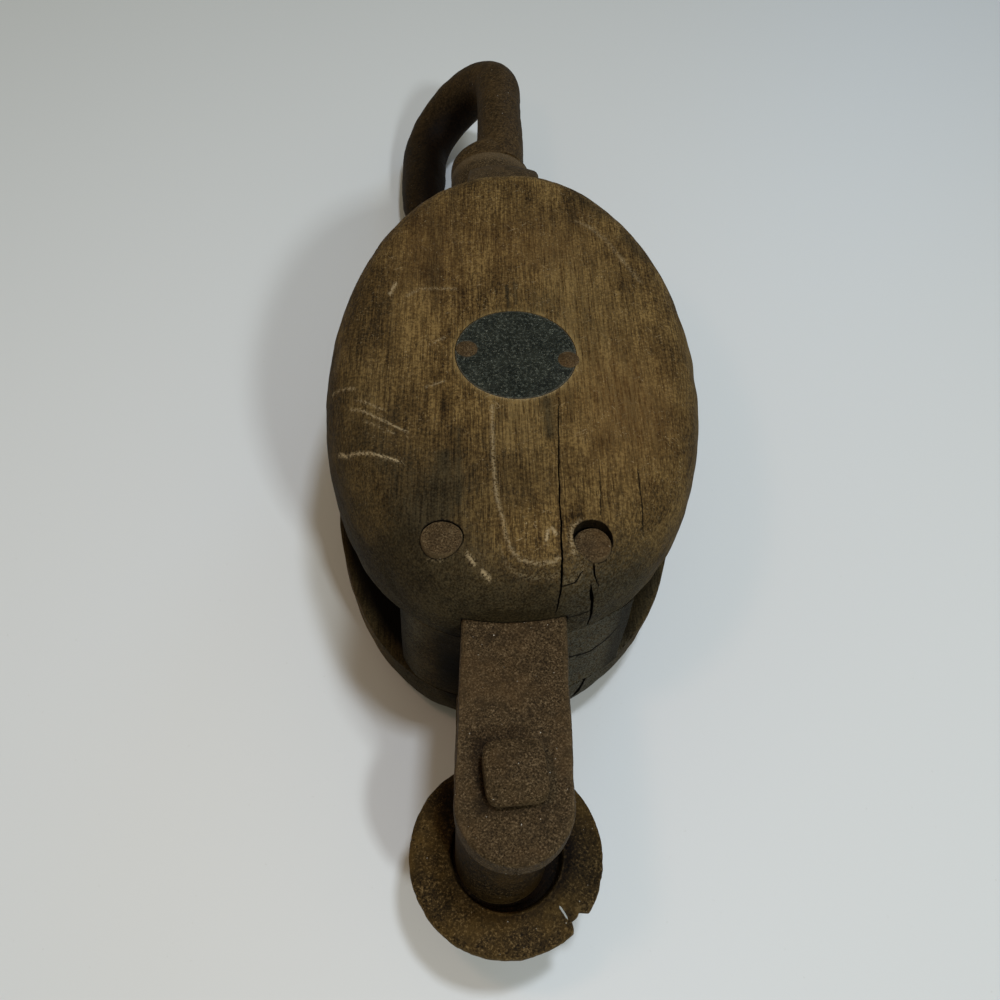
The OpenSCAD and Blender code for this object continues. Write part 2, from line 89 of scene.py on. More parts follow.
ahead = np.array([np.sin(LOOK_RIGHT) * np.cos(LOOK_DOWN),
                  np.cos(LOOK_RIGHT) * np.cos(LOOK_DOWN),
                  -np.sin(LOOK_DOWN)])
level = np.array([np.cos(LOOK_RIGHT), -np.sin(LOOK_RIGHT), 0.0])
above = np.cross(level, ahead)
camera_x = level * np.cos(ROLL) + above * np.sin(ROLL)
camera_y = above * np.cos(ROLL) - level * np.sin(ROLL)

camera_data = bpy.data.cameras.new("camera")
camera_data.sensor_width = SENSOR_W
camera_data.lens = FOCAL_PX * SENSOR_W / IMAGE_PX
camera = bpy.data.objects.new("camera", camera_data)
camera.matrix_world = matrix_of((camera_x, camera_y, -ahead), np.array(CAMERA_PLACE) * MM)
bpy.context.scene.collection.objects.link(camera)
bpy.context.scene.camera = camera
bpy.context.scene.view_settings.view_transform = "Standard"
print("lens:", round(camera_data.lens, 2), "mm")

# %% [markdown]
# ## Shader nodes in short
#
# A material is a small graph. A few helpers keep its building readable: one links or sets a
# node's sockets, one adds a node, and the others wrap the nodes that are used most. Each material
# starts from Object coordinates times a thousand. So lengths in the graphs are millimetres, and
# the pattern stays on its piece when the camera or the pose changes.


# %% Helpers for shader nodes
def fill(tree, made, inputs):
    """Links a node's input sockets to other sockets, or sets them to values."""
    for name, value in inputs.items():
        if isinstance(value, bpy.types.NodeSocket):
            tree.links.new(value, made.inputs[name])
        else:
            made.inputs[name].default_value = value
    return made


def add(tree, kind, inputs=None, **options):
    """Adds a shader node, sets its options and fills its input sockets."""
    made = tree.nodes.new("ShaderNode" + kind)
    for name, value in options.items():
        setattr(made, name, value)
    return fill(tree, made, inputs or {})


def mix(tree, share, first, second, way="MIX"):
    """Colour between first and second, by the share from 0 to 1."""
    return add(tree, "Mix", {0: share, 6: first, 7: second}, data_type="RGBA", blend_type=way).outputs[2]


def calc(tree, operation, first, second):
    """One step of arithmetic."""
    return add(tree, "Math", {0: first, 1: second}, operation=operation).outputs[0]


def times(tree, *values):
    """Product of values."""
    total = values[0]
    for value in values[1:]:
        total = calc(tree, "MULTIPLY", total, value)
    return total


def weigh(tree, *terms):
    """Sum of values, each times its share."""
    total = 0.0
    for share, value in terms:
        total = add(tree, "Math", {0: value, 1: share, 2: total}, operation="MULTIPLY_ADD").outputs[0]
    return total


def fade(tree, value, low, high):
    """0 below low, 1 above high, and the smooth step s * s * (3 - 2 s) between."""
    return add(tree, "MapRange", {0: value, 1: low, 2: high}, interpolation_type="SMOOTHSTEP").outputs[0]


def scaled(tree, vector, factors):
    """A vector whose three parts are each times a factor."""
    return add(tree, "VectorMath", {0: vector, 1: factors}, operation="MULTIPLY").outputs[0]


# %% Noise, marks and turned places in a graph
def noise(tree, place, size, detail, rough=0.55, stretch=(1, 1, 1), out="Fac"):
    """Cloudy noise from 0 to 1, whose lumps have about the size in millimetres."""
    place = scaled(tree, place, [s / size for s in stretch])
    return add(tree, "TexNoise", {"Vector": place, "Scale": 1.0, "Detail": detail,
                                  "Roughness": rough}).outputs[out]


def mark_value(tree, title):
    """A value that the mesh carries on its points."""
    return add(tree, "Attribute", attribute_name=title).outputs["Fac"]


def turned_place(tree, place, degrees):
    """Places turned about the vertical, so that stretched noise lies across the grain."""
    return add(tree, "VectorRotate", {"Vector": place, "Axis": (0, 0, 1), "Angle": np.radians(degrees)},
               rotation_type="AXIS_ANGLE").outputs[0]


# %% Node groups and materials
def new_group(name, inputs, outputs):
    """An empty node group: its tree, the sockets it starts from and the node it ends in. Each
    input is a name, a kind and a value, each output a name and a kind."""
    tree = bpy.data.node_groups.new(name, "ShaderNodeTree")
    for title, kind, value in inputs:
        socket = tree.interface.new_socket(title, in_out="INPUT", socket_type="NodeSocket" + kind)
        if value is not None:
            socket.default_value = value
    for title, kind in outputs:
        tree.interface.new_socket(title, in_out="OUTPUT", socket_type="NodeSocket" + kind)
    return tree, tree.nodes.new("NodeGroupInput").outputs, tree.nodes.new("NodeGroupOutput")


def use_group(tree, group, inputs):
    """Places a node group in a material's tree and fills its sockets."""
    return add(tree, "Group", inputs, node_tree=group).outputs


def start_material(name):
    """A new material with a Principled shader, its node tree, and places in millimetres."""
    material = bpy.data.materials.new(name)
    material.use_nodes = True
    tree = material.node_tree
    return material, tree, scaled(tree, add(tree, "TexCoord").outputs["Object"], [1 / MM] * 3)


def finish_material(name, colour, roughness, height, bump, metallic=0.0, specular=0.5):
    """Joins colour, roughness and height to a Principled shader, with a bump of that many mm."""
    tree = colour.id_data
    bumped = add(tree, "Bump", {"Height": height, "Strength": 1.0, "Distance": bump * MM})
    fill(tree, tree.nodes["Principled BSDF"],
         {"Base Color": colour, "Roughness": roughness, "Metallic": metallic,
          "Specular IOR Level": specular, "Normal": bumped.outputs["Normal"]})
    print("material:", name)


# %% [markdown]
# ## Table and light
#
# The table is a pale painted board. Three small lamps throw three shadows with fairly crisp
# edges: one lamp stands almost overhead, one beyond the camera at the right and a weaker, warm
# one at the left. A cool window far behind tints the table there, and a warm world fills the
# rest. Together they light a flat surface at about the level at which a colour renders as it is
# written.

# %% Table
TABLE_HALF = 2600.0
TABLE_COLOUR = (0.60, 0.605, 0.60, 1.0)
TABLE_SPECK = (0.40, 0.38, 0.34, 1.0)

table_mesh = bpy.data.meshes.new("table")
table_corners = [(x * TABLE_HALF * MM, y * TABLE_HALF * MM, 0.0)
                 for x, y in ((-1, -1), (1, -1), (1, 1), (-1, 1))]
table_mesh.from_pydata(table_corners, [], [(0, 1, 2, 3)])
table = bpy.data.objects.new("table", table_mesh)
bpy.context.scene.collection.objects.link(table)

table_paint, tree, place = start_material("table_paint")
specks = fade(tree, noise(tree, place, 1.6, 2.0), 0.72, 0.78)
colour = mix(tree, times(tree, specks, 0.25), TABLE_COLOUR, TABLE_SPECK)
finish_material("table_paint", colour, 0.5, noise(tree, place, 3.0, 2.0), 0.02, specular=0.3)
table_mesh.materials.append(table_paint)


# %% Light
def lamp(name, place, size, power, colour, toward=(0, 0, 0.03)):
    """A square area light at a place in metres, whose -Z axis faces a point."""
    data = bpy.data.lights.new(name, "AREA")
    data.size = size
    data.energy = power
    data.color = colour
    made = bpy.data.objects.new(name, data)
    away = np.array(place, float) - np.array(toward, float)
    away /= np.linalg.norm(away)
    side = np.cross((0.0, 0.0, 1.0), away)
    side /= np.linalg.norm(side)
    made.matrix_world = matrix_of((side, np.cross(away, side), away), place)
    bpy.context.scene.collection.objects.link(made)


lamp("overhead_lamp", (0.138, -0.045, 1.0), 0.10, 4.30, (0.80, 0.89, 1.0))
lamp("right_lamp", (0.60, -1.18, 1.15), 0.17, 13.6, (0.87, 0.96, 1.0))
lamp("left_lamp", (-0.135, -0.124, 0.40), 0.045, 0.17, (1.0, 0.62, 0.45))
lamp("back_window", (0.80, 1.40, 0.90), 0.50, 3.2, (0.25, 0.55, 1.0), (0.3, 0.35, 0.0))
world = bpy.data.worlds.new("room")
bpy.context.scene.world = world
world.use_nodes = True
fill(world.node_tree, world.node_tree.nodes["Background"],
     {"Color": (1.0, 0.92, 0.68, 1.0), "Strength": 0.31})
print("lights:", [light.name for light in bpy.data.lights])

# %% [markdown]
# ## Surfaces from arrays
#
# Every new piece is a grid of points worked out as whole arrays. Three kinds of surface are
# enough: a pillow (an outline that is drawn in as it rises), a turned form (a profile round an
# axis) and a bar (a section along a path). Noise from a fixed random lattice makes them uneven,
# the same on every run. Holes are cut with a Boolean modifier that is applied at once.

# %% Noise on points
def unit(values):
    """Values kept between 0 and 1."""
    return np.clip(values, 0, 1)


LATTICE_SIDE = 32
LATTICE = np.random.default_rng(8).uniform(-1, 1, (LATTICE_SIDE,) * 3)
SEED_SHIFT = 11.7


def lumps(points, size, seed, stretch=(1, 1, 1)):
    """Smooth noise from -1 to 1: the corner values of a random lattice blended by smooth steps."""
    scaled = np.asarray(points, float) * np.array(stretch) / size + SEED_SHIFT * seed
    cell = np.floor(scaled).astype(int)
    part = scaled - cell
    part = part * part * (3 - 2 * part)
    value = np.zeros(scaled.shape[:-1])
    for corner in np.ndindex(2, 2, 2):
        weight = np.prod(np.where(corner, part, 1 - part), axis=-1)
        index = (cell + corner) % LATTICE_SIDE
        value += weight * LATTICE[index[..., 0], index[..., 1], index[..., 2]]
    return value


def rough_lumps(points, size, seed):
    """Three sizes of noise in one, each half as large and half as strong as the one before."""
    return (lumps(points, size, seed) + lumps(points, size / 2, seed + 1) / 2
            + lumps(points, size / 4, seed + 2) / 4)


# %% Grids of points to meshes
def grid_faces(rows, columns, closed=True):
    """Quads of a grid of rows by columns, whose rows close into rings if closed."""
    row, column = np.meshgrid(np.arange(rows - 1), np.arange(columns - (not closed)), indexing="ij")
    after = (column + 1) % columns
    quads = np.stack([row * columns + column, row * columns + after,
                      (row + 1) * columns + after, (row + 1) * columns + column], axis=-1)
    return quads.reshape(-1, 4)


def mark(mesh, **marks):
    """Writes named values from 0 to 1 on the points of a mesh, one for all of them or one each."""
    for title, values in marks.items():
        layer = mesh.attributes.new(title, "FLOAT", "POINT")
        every = np.broadcast_to(np.asarray(values, np.float32).ravel(), len(mesh.vertices))
        layer.data.foreach_set("value", np.ascontiguousarray(every))
    return mesh


def mesh_from(name, points, quads, marks=None):
    """A mesh from points in millimetres and quads, with named values on its points."""
    mesh = bpy.data.meshes.new(name)
    mesh.vertices.add(len(points))
    mesh.vertices.foreach_set("co", (points * MM).astype(np.float32).ravel())
    mesh.loops.add(4 * len(quads))
    mesh.loops.foreach_set("vertex_index", quads.astype(np.int32).ravel())
    mesh.polygons.add(len(quads))
    mesh.polygons.foreach_set("loop_start", np.arange(0, 4 * len(quads), 4, dtype=np.int32))
    mesh.update(calc_edges=True)
    return mark(mesh, **(marks or {}))


# %% Closed skins
def merged(mesh):
    """Merges doubled points, so that poles and seams are closed, and turns the faces outwards."""
    work = bmesh.new()
    work.from_mesh(mesh)
    bmesh.ops.remove_doubles(work, verts=work.verts, dist=1e-6)
    bmesh.ops.recalc_face_normals(work, faces=work.faces)
    work.to_mesh(mesh)
    work.free()
    return mesh


def closed_rings(name, rings, marks=None):
    """A closed skin over a stack of rings. Each end is shut by a ring drawn in to its middle."""
    rings = np.asarray(rings)
    first = np.broadcast_to(rings[0].mean(axis=0), rings[0].shape)
    last = np.broadcast_to(rings[-1].mean(axis=0), rings[-1].shape)
    stack = np.concatenate([first[None], rings, last[None]])
    rows, columns = stack.shape[:2]
    marks = {title: np.concatenate([values[:1], values, values[-1:]])
             for title, values in (marks or {}).items()}
    return merged(mesh_from(name, stack.reshape(-1, 3), grid_faces(rows, columns), marks))


# %% Cutting, joining and placing
def points_of(mesh):
    """Places of a mesh's points in millimetres."""
    co = np.zeros(3 * len(mesh.vertices), np.float32)
    mesh.vertices.foreach_get("co", co)
    return co.reshape(-1, 3) / MM


def as_object(mesh):
    """Puts a mesh into the scene as an object at the origin."""
    made = bpy.data.objects.new(mesh.name, mesh)
    bpy.context.scene.collection.objects.link(made)
    return made


def combine(mesh, others, way):
    """Cuts the other meshes out of a mesh, or joins them to it, with an applied Boolean."""
    target = as_object(mesh)
    helpers = [as_object(other) for other in others]
    for helper in helpers:
        step = target.modifiers.new(way, "BOOLEAN")
        step.operation = way
        step.solver = "MANIFOLD"
        step.object = helper
    graph = bpy.context.evaluated_depsgraph_get()
    result = bpy.data.meshes.new_from_object(target.evaluated_get(graph))
    result.name = mesh.name
    for used in [target, *helpers]:
        bpy.data.objects.remove(used)
    return result


def piece(mesh, body, material, stands_for, sharp=38):
    """A finished piece: it rides on a body, takes a slot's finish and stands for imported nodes.
    Edges sharper than that many degrees stay crisp."""
    made = as_object(mesh)
    mesh.materials.clear()
    mesh.materials.append(material)
    mesh.shade_smooth()
    mesh.set_sharp_from_angle(angle=np.radians(sharp))
    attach(made, body)
    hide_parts(*stands_for)
    print("piece:", made.name, len(mesh.vertices), "points")


# %% Simple forms used for cutting and turning
def all_round(sides):
    """Angles of a ring's points, in radians."""
    return np.linspace(0, 2 * np.pi, sides, endpoint=False)


def turned_rings(profile, sides):
    """Rings of a profile of (radius, height) pairs turned round the Z axis: (r cos a, r sin a, z)."""
    angle = all_round(sides)
    radius, height = np.array(profile, float).T
    return np.stack([radius[:, None] * np.cos(angle), radius[:, None] * np.sin(angle),
                     np.broadcast_to(height[:, None], (len(radius), sides))], axis=-1)


def turned(name, profile, sides=96, middle=(0, 0, 0)):
    """A turned form round a vertical axis, shut at both ends."""
    return closed_rings(name, turned_rings(profile, sides) + np.array(middle, float))


def oval_rod(x, y, half_x, half_y, low, high, sides=64):
    """An upright cutter with an oval section."""
    rings = turned_rings([(1, low), (1, high)], sides)
    return closed_rings("oval_rod", rings * np.array([half_x, half_y, 1]) + np.array([x, y, 0]))


def rod(radius, start, end, sides=64):
    """A straight round cutter from one point to another."""
    start, end = np.array(start, float), np.array(end, float)
    along = (end - start) / np.linalg.norm(end - start)
    across = np.cross(along, (0.3, 0.5, 0.81))
    across /= np.linalg.norm(across)
    other = np.cross(along, across)
    angle = all_round(sides)[:, None]
    ring = radius * (np.cos(angle) * across + np.sin(angle) * other)
    return closed_rings("rod", [start + ring, end + ring])


def slab(low, high):
    """A plain box cutter between two corners."""
    low, high = np.array(low, float), np.array(high, float)
    square = np.array([(0, 0), (1, 0), (1, 1), (0, 1)])
    return closed_rings("slab", [np.c_[low[:2] + square * (high - low)[:2], np.full(4, z)]
                                 for z in (low[2], high[2])])


# %% [markdown]
# ## Wood
#
# A cheek is carved from a plank, so its year rings are sheets that run along the grain. Where the
# carved edge cuts through them they show as nested curves, which is what makes the wood look
# solid. The group works that out: rings by distance from the tree's heart, long fibres by
# stretched noise, and broad blotches. Colours go in as sockets, so cheeks and sheave share it.

# %% Wood grain group
wood_grain, entry, leave = new_group(
    "wood_grain",
    [("Place", "Vector", None), ("Dark", "Color", (0.03, 0.018, 0.008, 1)),
     ("Middle", "Color", (0.09, 0.052, 0.02, 1)), ("Pale", "Color", (0.19, 0.125, 0.055, 1)),
     ("Ring Width", "Float", 3.2)],
    [("Color", "Color"), ("Height", "Float"), ("Roughness", "Float")])
tree, place = wood_grain, entry["Place"]
waver = noise(tree, place, 1.0, 2.0, 0.5, (0.03, 0.009, 0.03), "Color")
swayed = add(tree, "VectorMath", {0: waver, 1: (16, 16, 16), 2: place}, operation="MULTIPLY_ADD").outputs[0]
from_heart = add(tree, "VectorMath", {0: scaled(tree, swayed, (1, 0.06, 1)), 1: (-12, 0, 62)},
                 operation="ADD").outputs[0]
distance = add(tree, "VectorMath", {0: from_heart}, operation="LENGTH").outputs["Value"]
ring = calc(tree, "PINGPONG", calc(tree, "DIVIDE", distance, entry["Ring Width"]), 1.0)
late_wood = fade(tree, ring, 0.45, 1.0)
fibres = noise(tree, place, 0.8, 4.0, 0.65, (1.5, 0.05, 1.5))
fine = noise(tree, place, 0.45, 2.0, 0.6, (1.4, 0.05, 1.4))
mottle = noise(tree, place, 1.0, 3.0, 0.75)
streaks = noise(tree, place, 4.0, 3.0, 0.6, (1, 0.10, 1))
blotches = noise(tree, place, 15.0, 4.0, 0.6, (1, 0.7, 1))
pores = fade(tree, noise(tree, place, 0.5, 1.0, 0.5, (1.3, 0.11, 1.3)), 0.60, 0.70)
tone = weigh(tree, (0.32, fade(tree, fibres, 0.36, 0.64)), (0.32, fade(tree, mottle, 0.38, 0.62)),
             (0.13, fade(tree, streaks, 0.3, 0.7)), (0.26, fade(tree, blotches, 0.34, 0.66)),
             (-0.08, late_wood))
colour = mix(tree, fade(tree, tone, 0.12, 0.50), entry["Dark"], entry["Middle"])
colour = mix(tree, fade(tree, tone, 0.46, 0.90), colour, entry["Pale"])
colour = mix(tree, times(tree, pores, 0.6), colour, entry["Dark"])
height = weigh(tree, (0.6, fibres), (0.4, fine), (0.5, mottle), (-0.5, pores), (0.2, late_wood))
fill(tree, leave, {"Color": colour, "Height": height,
                   "Roughness": weigh(tree, (0.25, fine), (1.0, 0.60))})
print("group:", tree.name, len(tree.nodes), "nodes")

# %% [markdown]
# Rubbed edges are an effect that wood and iron share. Pointiness is high on ridges and low in
# hollows, so the group turns it into two masks, a rubbed one and a dirty one, broken by noise.

# %% Edge wear group
edge_wear, entry, leave = new_group(
    "edge_wear", [("Place", "Vector", None), ("Amount", "Float", 1.0)],
    [("Rubbed", "Float"), ("Dirty", "Float")])
tree = edge_wear
pointed = add(tree, "NewGeometry").outputs["Pointiness"]
broken = times(tree, noise(tree, entry["Place"], 2.4, 3.0, 0.7), 0.05)
ridge = fade(tree, calc(tree, "ADD", pointed, broken), 0.535, 0.60)
hollow = fade(tree, pointed, 0.49, 0.42)
fill(tree, leave, {"Rubbed": times(tree, ridge, entry["Amount"]),
                   "Dirty": times(tree, hollow, entry["Amount"])})
print("group:", tree.name, len(tree.nodes), "nodes")

# %% [markdown]
# The shell's wood adds marks to the grain. Where it is rubbed, scratched, stained, reddish,
# greyed or split open, and where shade is painted on it, is worked out on the mesh, as values from
# 0 to 1 on its points, because such marks belong to places on it. Fine noise then breaks each mark
# up, so that it doesn't look painted on.

# %% Shell wood
WOOD_DARK = (0.013, 0.0072, 0.0022, 1)
WOOD_MIDDLE = (0.063, 0.0365, 0.0112, 1)
WOOD_PALE = (0.165, 0.105, 0.036, 1)
WOOD_RUBBED = (0.175, 0.118, 0.045, 1)
WOOD_CHALK = (0.31, 0.235, 0.13, 1)
WOOD_RED = (0.092, 0.045, 0.013, 1)
WOOD_GREY = (0.078, 0.081, 0.066, 1)
STAIN_DARK = (0.0070, 0.0052, 0.0022, 1)
STAIN_PALE = (0.046, 0.035, 0.017, 1)
# Black for the insides of cracks and for painted shade in gaps, wells, hollows and the strap's shadow.
CRACK_AND_SHADE_BLACK = (0.0022, 0.0016, 0.0010, 1)

shell_wood, tree, place = start_material("shell_wood")
grain = use_group(tree, wood_grain, {"Place": place, "Dark": WOOD_DARK, "Middle": WOOD_MIDDLE,
                                     "Pale": WOOD_PALE})
worn = use_group(tree, edge_wear, {"Place": place, "Amount": 0.8})
grit = noise(tree, place, 0.7, 3.0, 0.75)
threads = noise(tree, place, 0.9, 3.0, 0.6, (1.4, 0.06, 1.4))
scuffed = noise(tree, place, 9.0, 3.0, 0.6)
specks = fade(tree, noise(tree, place, 0.75, 2.0, 0.6), 0.64, 0.70)
scuffs = noise(tree, turned_place(tree, place, 62), 0.6, 2.0, 0.6, (1.3, 0.10, 1.3))
scrapes = noise(tree, turned_place(tree, place, -35), 0.6, 2.0, 0.6, (1.3, 0.08, 1.3))

colour = mix(tree, times(tree, mark_value(tree, "reddish"), 0.55), grain["Color"], WOOD_RED)
rubbed = times(tree, mark_value(tree, "rubbed"), fade(tree, threads, 0.36, 0.60), 0.8)
colour = mix(tree, rubbed, colour, WOOD_RUBBED)
pale = weigh(tree, (0.5, specks), (0.5, fade(tree, scuffs, 0.68, 0.73)),
             (0.55, fade(tree, scrapes, 0.70, 0.75)))
colour = mix(tree, times(tree, pale, fade(tree, scuffed, 0.35, 0.65)), colour, WOOD_CHALK)
# This mark holds real stains, painted shade on the lower cheek's inner face, and darkening towards the upper
# cheek's lower rim.
stain_and_shade = mark_value(tree, "stain_and_shade")
stain = mix(tree, fade(tree, weigh(tree, (0.5, grit), (0.3, threads), (0.2, scuffed)), 0.40, 0.62),
            STAIN_DARK, STAIN_PALE)
colour = mix(tree, times(tree, stain_and_shade, 0.88), colour, stain)
greyed = times(tree, mark_value(tree, "greyed"), fade(tree, grit, 0.42, 0.60))
colour = mix(tree, greyed, colour, WOOD_GREY)
scratched = mark_value(tree, "scratched")
chalky = fade(tree, weigh(tree, (1.0, grit), (0.14, scratched)), 0.47, 0.59)
colour = mix(tree, times(tree, scratched, chalky), colour, WOOD_CHALK)
edge = times(tree, worn["Rubbed"], calc(tree, "SUBTRACT", 0.35, stain_and_shade))
colour = mix(tree, edge, colour, WOOD_PALE)
colour = mix(tree, worn["Dirty"], colour, STAIN_DARK)
# Painted shade and dark cracks: black where this mark is high.
colour = mix(tree, mark_value(tree, "split_and_shade"), colour, CRACK_AND_SHADE_BLACK)
finish_material("shell_wood", colour, grain["Roughness"], grain["Height"], 0.28, specular=0.05)

sheave_wood, tree, place = start_material("sheave_wood")
grain = use_group(tree, wood_grain, {
    "Place": place, "Dark": (0.010, 0.0065, 0.0035, 1), "Middle": (0.030, 0.018, 0.009, 1),
    "Pale": (0.070, 0.046, 0.023, 1), "Ring Width": 2.0})
finish_material("sheave_wood", grain["Color"], 0.6, grain["Height"], 0.1, specular=0.2)

# %% [markdown]
# ## Rusted iron
#
# Old iron rust is not one brown. Seen close it is a felt of dark scale, brown crust and bright
# crumbs under a millimetre wide, over broad darker and lighter areas, with pits. The group mixes
# three colours by noise at those three sizes and lowers the surface in the pits. Hook, strap,
# thimble and rivets use it with their own colours.

# %% Rust group
CHIP = (0.36, 0.32, 0.26, 1)

rust_skin, entry, leave = new_group(
    "rust_skin",
    [("Place", "Vector", None), ("Scale Colour", "Color", (0.016, 0.011, 0.007, 1)),
     ("Crust", "Color", (0.055, 0.034, 0.018, 1)), ("Crumb", "Color", (0.14, 0.088, 0.045, 1)),
     ("Bloom", "Color", (0.09, 0.048, 0.016, 1)), ("Bloom Amount", "Float", 0.3),
     ("Crumb Size", "Float", 0.8)],
    [("Color", "Color"), ("Height", "Float"), ("Roughness", "Float")])
tree, place = rust_skin, entry["Place"]
crumb_place = add(tree, "VectorMath", {0: place, "Scale": calc(tree, "DIVIDE", 1.0, entry["Crumb Size"])},
                  operation="SCALE").outputs[0]
crumbs = noise(tree, crumb_place, 1.0, 4.0, 0.75)
crust = noise(tree, place, 3.5, 4.0, 0.65)
areas = noise(tree, place, 17.0, 3.0, 0.6)
pits = add(tree, "TexVoronoi", {"Vector": crumb_place, "Scale": 0.42}).outputs["Distance"]
pitted = times(tree, fade(tree, pits, 0.30, 0.10), fade(tree, crust, 0.45, 0.62))
colour = mix(tree, fade(tree, crumbs, 0.38, 0.52), entry["Scale Colour"], entry["Crust"])
colour = mix(tree, fade(tree, crumbs, 0.53, 0.66), colour, entry["Crumb"])
colour = mix(tree, times(tree, fade(tree, areas, 0.45, 0.68), entry["Bloom Amount"]), colour, entry["Bloom"])
colour = mix(tree, times(tree, fade(tree, crust, 0.55, 0.32), 0.5), colour, entry["Scale Colour"])
colour = mix(tree, times(tree, pitted, 0.7), colour, entry["Scale Colour"])
colour = mix(tree, fade(tree, noise(tree, place, 0.9, 1.0, 0.5), 0.775, 0.80), colour, CHIP)
fill(tree, leave, {"Color": colour, "Height": weigh(tree, (0.5, crumbs), (1.0, crust), (-0.6, pitted)),
                   "Roughness": weigh(tree, (0.3, crumbs), (1.0, 0.5))})
print("group:", tree.name, len(tree.nodes), "nodes")

# %% Iron finishes
# Dark tint multiplied in as painted shade.
PAINTED_SHADE_TINT = (0.09, 0.06, 0.04, 1)


def iron(name, scale, crust, crumb, bloom, amount, crumb_size, rubbed=0.5):
    """A rusted iron with its own three rust colours, bloom, rubbed edges and darkened places, mostly
    painted shade, where its colour is multiplied by a dark tint."""
    material, tree, place = start_material(name)
    skin = use_group(tree, rust_skin, {"Place": place, "Scale Colour": scale, "Crust": crust,
                                       "Crumb": crumb, "Bloom": bloom, "Bloom Amount": amount,
                                       "Crumb Size": crumb_size})
    edges = use_group(tree, edge_wear, {"Place": place, "Amount": rubbed})
    colour = mix(tree, times(tree, edges["Rubbed"], 0.6), skin["Color"], crumb)
    colour = mix(tree, edges["Dirty"], colour, scale)
    # Painted shade: the colour times a dark tint where the mark is high.
    colour = mix(tree, mark_value(tree, "painted_shade"), colour, PAINTED_SHADE_TINT, "MULTIPLY")
    finish_material(name, colour, skin["Roughness"], skin["Height"], 0.25, specular=0.05)
    return material


strap_iron = iron("strap_iron", (0.012, 0.0076, 0.0032, 1), (0.048, 0.0305, 0.0135, 1),
                  (0.138, 0.096, 0.052, 1), (0.066, 0.038, 0.015, 1), 0.35, 0.6)
hook_iron = iron("hook_iron", (0.011, 0.0062, 0.0022, 1), (0.046, 0.0275, 0.0104, 1),
                 (0.088, 0.056, 0.025, 1), (0.062, 0.036, 0.013, 1), 0.45, 1.0, 0.3)
thimble_iron = iron("thimble_iron", (0.0060, 0.0036, 0.0013, 1), (0.036, 0.0215, 0.0070, 1),
                    (0.145, 0.094, 0.038, 1), (0.078, 0.044, 0.0105, 1), 0.5, 0.75)
fastening_iron = iron("fastening_iron", (0.016, 0.0095, 0.004, 1), (0.056, 0.035, 0.015, 1),
                      (0.12, 0.085, 0.044, 1), (0.072, 0.040, 0.015, 1), 0.4, 0.5)

# %% [markdown]
# The pin plate is dark grey iron that has kept its skin, sprinkled with pale grains and dots. The
# sheave's pin is bare steel and its bush bronze; both are mostly hidden.

# %% Plate, steel and bronze
plate_iron, tree, place = start_material("plate_iron")
grains = noise(tree, place, 1.3, 4.0, 0.8)
smudges = noise(tree, place, 6.0, 4.0, 0.6)
dots = fade(tree, noise(tree, place, 0.6, 2.0, 0.7), 0.62, 0.68)
edges = use_group(tree, edge_wear, {"Place": place, "Amount": 0.6})
colour = mix(tree, fade(tree, smudges, 0.3, 0.7), (0.0045, 0.0056, 0.0036, 1), (0.013, 0.0145, 0.0100, 1))
colour = mix(tree, times(tree, fade(tree, grains, 0.48, 0.68), 0.65), colour, (0.072, 0.078, 0.060, 1))
colour = mix(tree, times(tree, dots, 0.7), colour, (0.150, 0.155, 0.120, 1))
colour = mix(tree, times(tree, edges["Rubbed"], 0.5), colour, (0.16, 0.13, 0.09, 1))
finish_material("plate_iron", colour, 0.6, grains, 0.20, specular=0.08)

pin_steel, tree, place = start_material("pin_steel")
turning = noise(tree, place, 0.5, 2.0, 0.5, (0.2, 0.2, 3.0))
colour = mix(tree, turning, (0.20, 0.19, 0.18, 1), (0.34, 0.33, 0.31, 1))
finish_material("pin_steel", colour, 0.35, turning, 0.03, metallic=0.9)

bush_bronze, tree, place = start_material("bush_bronze")
tarnish = noise(tree, place, 4.0, 4.0, 0.6)
colour = mix(tree, fade(tree, tarnish, 0.35, 0.65), (0.10, 0.065, 0.03, 1), (0.36, 0.24, 0.10, 1))
finish_material("bush_bronze", colour, 0.45, tarnish, 0.06, metallic=0.8)

# %% [markdown]
# ## Cheeks
#
# Each cheek is a pillow: a flat inner face, a low upright wall, and an edge that rolls over to a
# broad, almost flat back. Its outline is nearly an ellipse. Rings of the outline are drawn in
# along the edge's quarter ellipse, with more points where the cracks are. Iron sits in it in
# clean holes, which are cut afterwards.

# %% Sizes of the shell
low_cheek, high_cheek = node_box("upper_cheek")
TOP_Z = high_cheek[2]
UP_Z = low_cheek[2]
CHEEK_T = TOP_Z - UP_Z
LOW_Z = CHEEK_T
MID_Z = (LOW_Z + UP_Z) / 2
SHELL_W, SHELL_L = 129.7, 203.0
SHELL_MIDDLE = np.array([2.7, 6.4])
SHELL_TURN = np.radians(-1.1)
HOOK_END_POWER, BECKET_END_POWER = 2 / 2.02, 2 / 2.17
TAIL_LEFT = 3.5
UPPER_TAIL_WORN = 1.8
EDGE_IN, WALL_H = 15.0, 5.5
STRAP_W, STRAP_T = 31.0, 9.6
SCORE_HALF = STRAP_W / 2 + 0.4
SCORE_SHIFT = 1.2
PLATE_R, PLATE_T = 20.6, 1.6
PLATE_PLACE = np.array([2.8, -0.4])
RIVETS = [(-20.55, -75.0), (24.15, -75.0)]
RIVET_R, RIVET_HEAD_R = 4.0, 6.2
PIN_R = 9.5
print("cheek thickness", round(CHEEK_T, 2), "gap", round(UP_Z - LOW_Z, 2))


# %% Outline of the shell
def signed_power(value, power):
    """Power that keeps the sign."""
    return np.sign(value) * np.abs(value) ** power


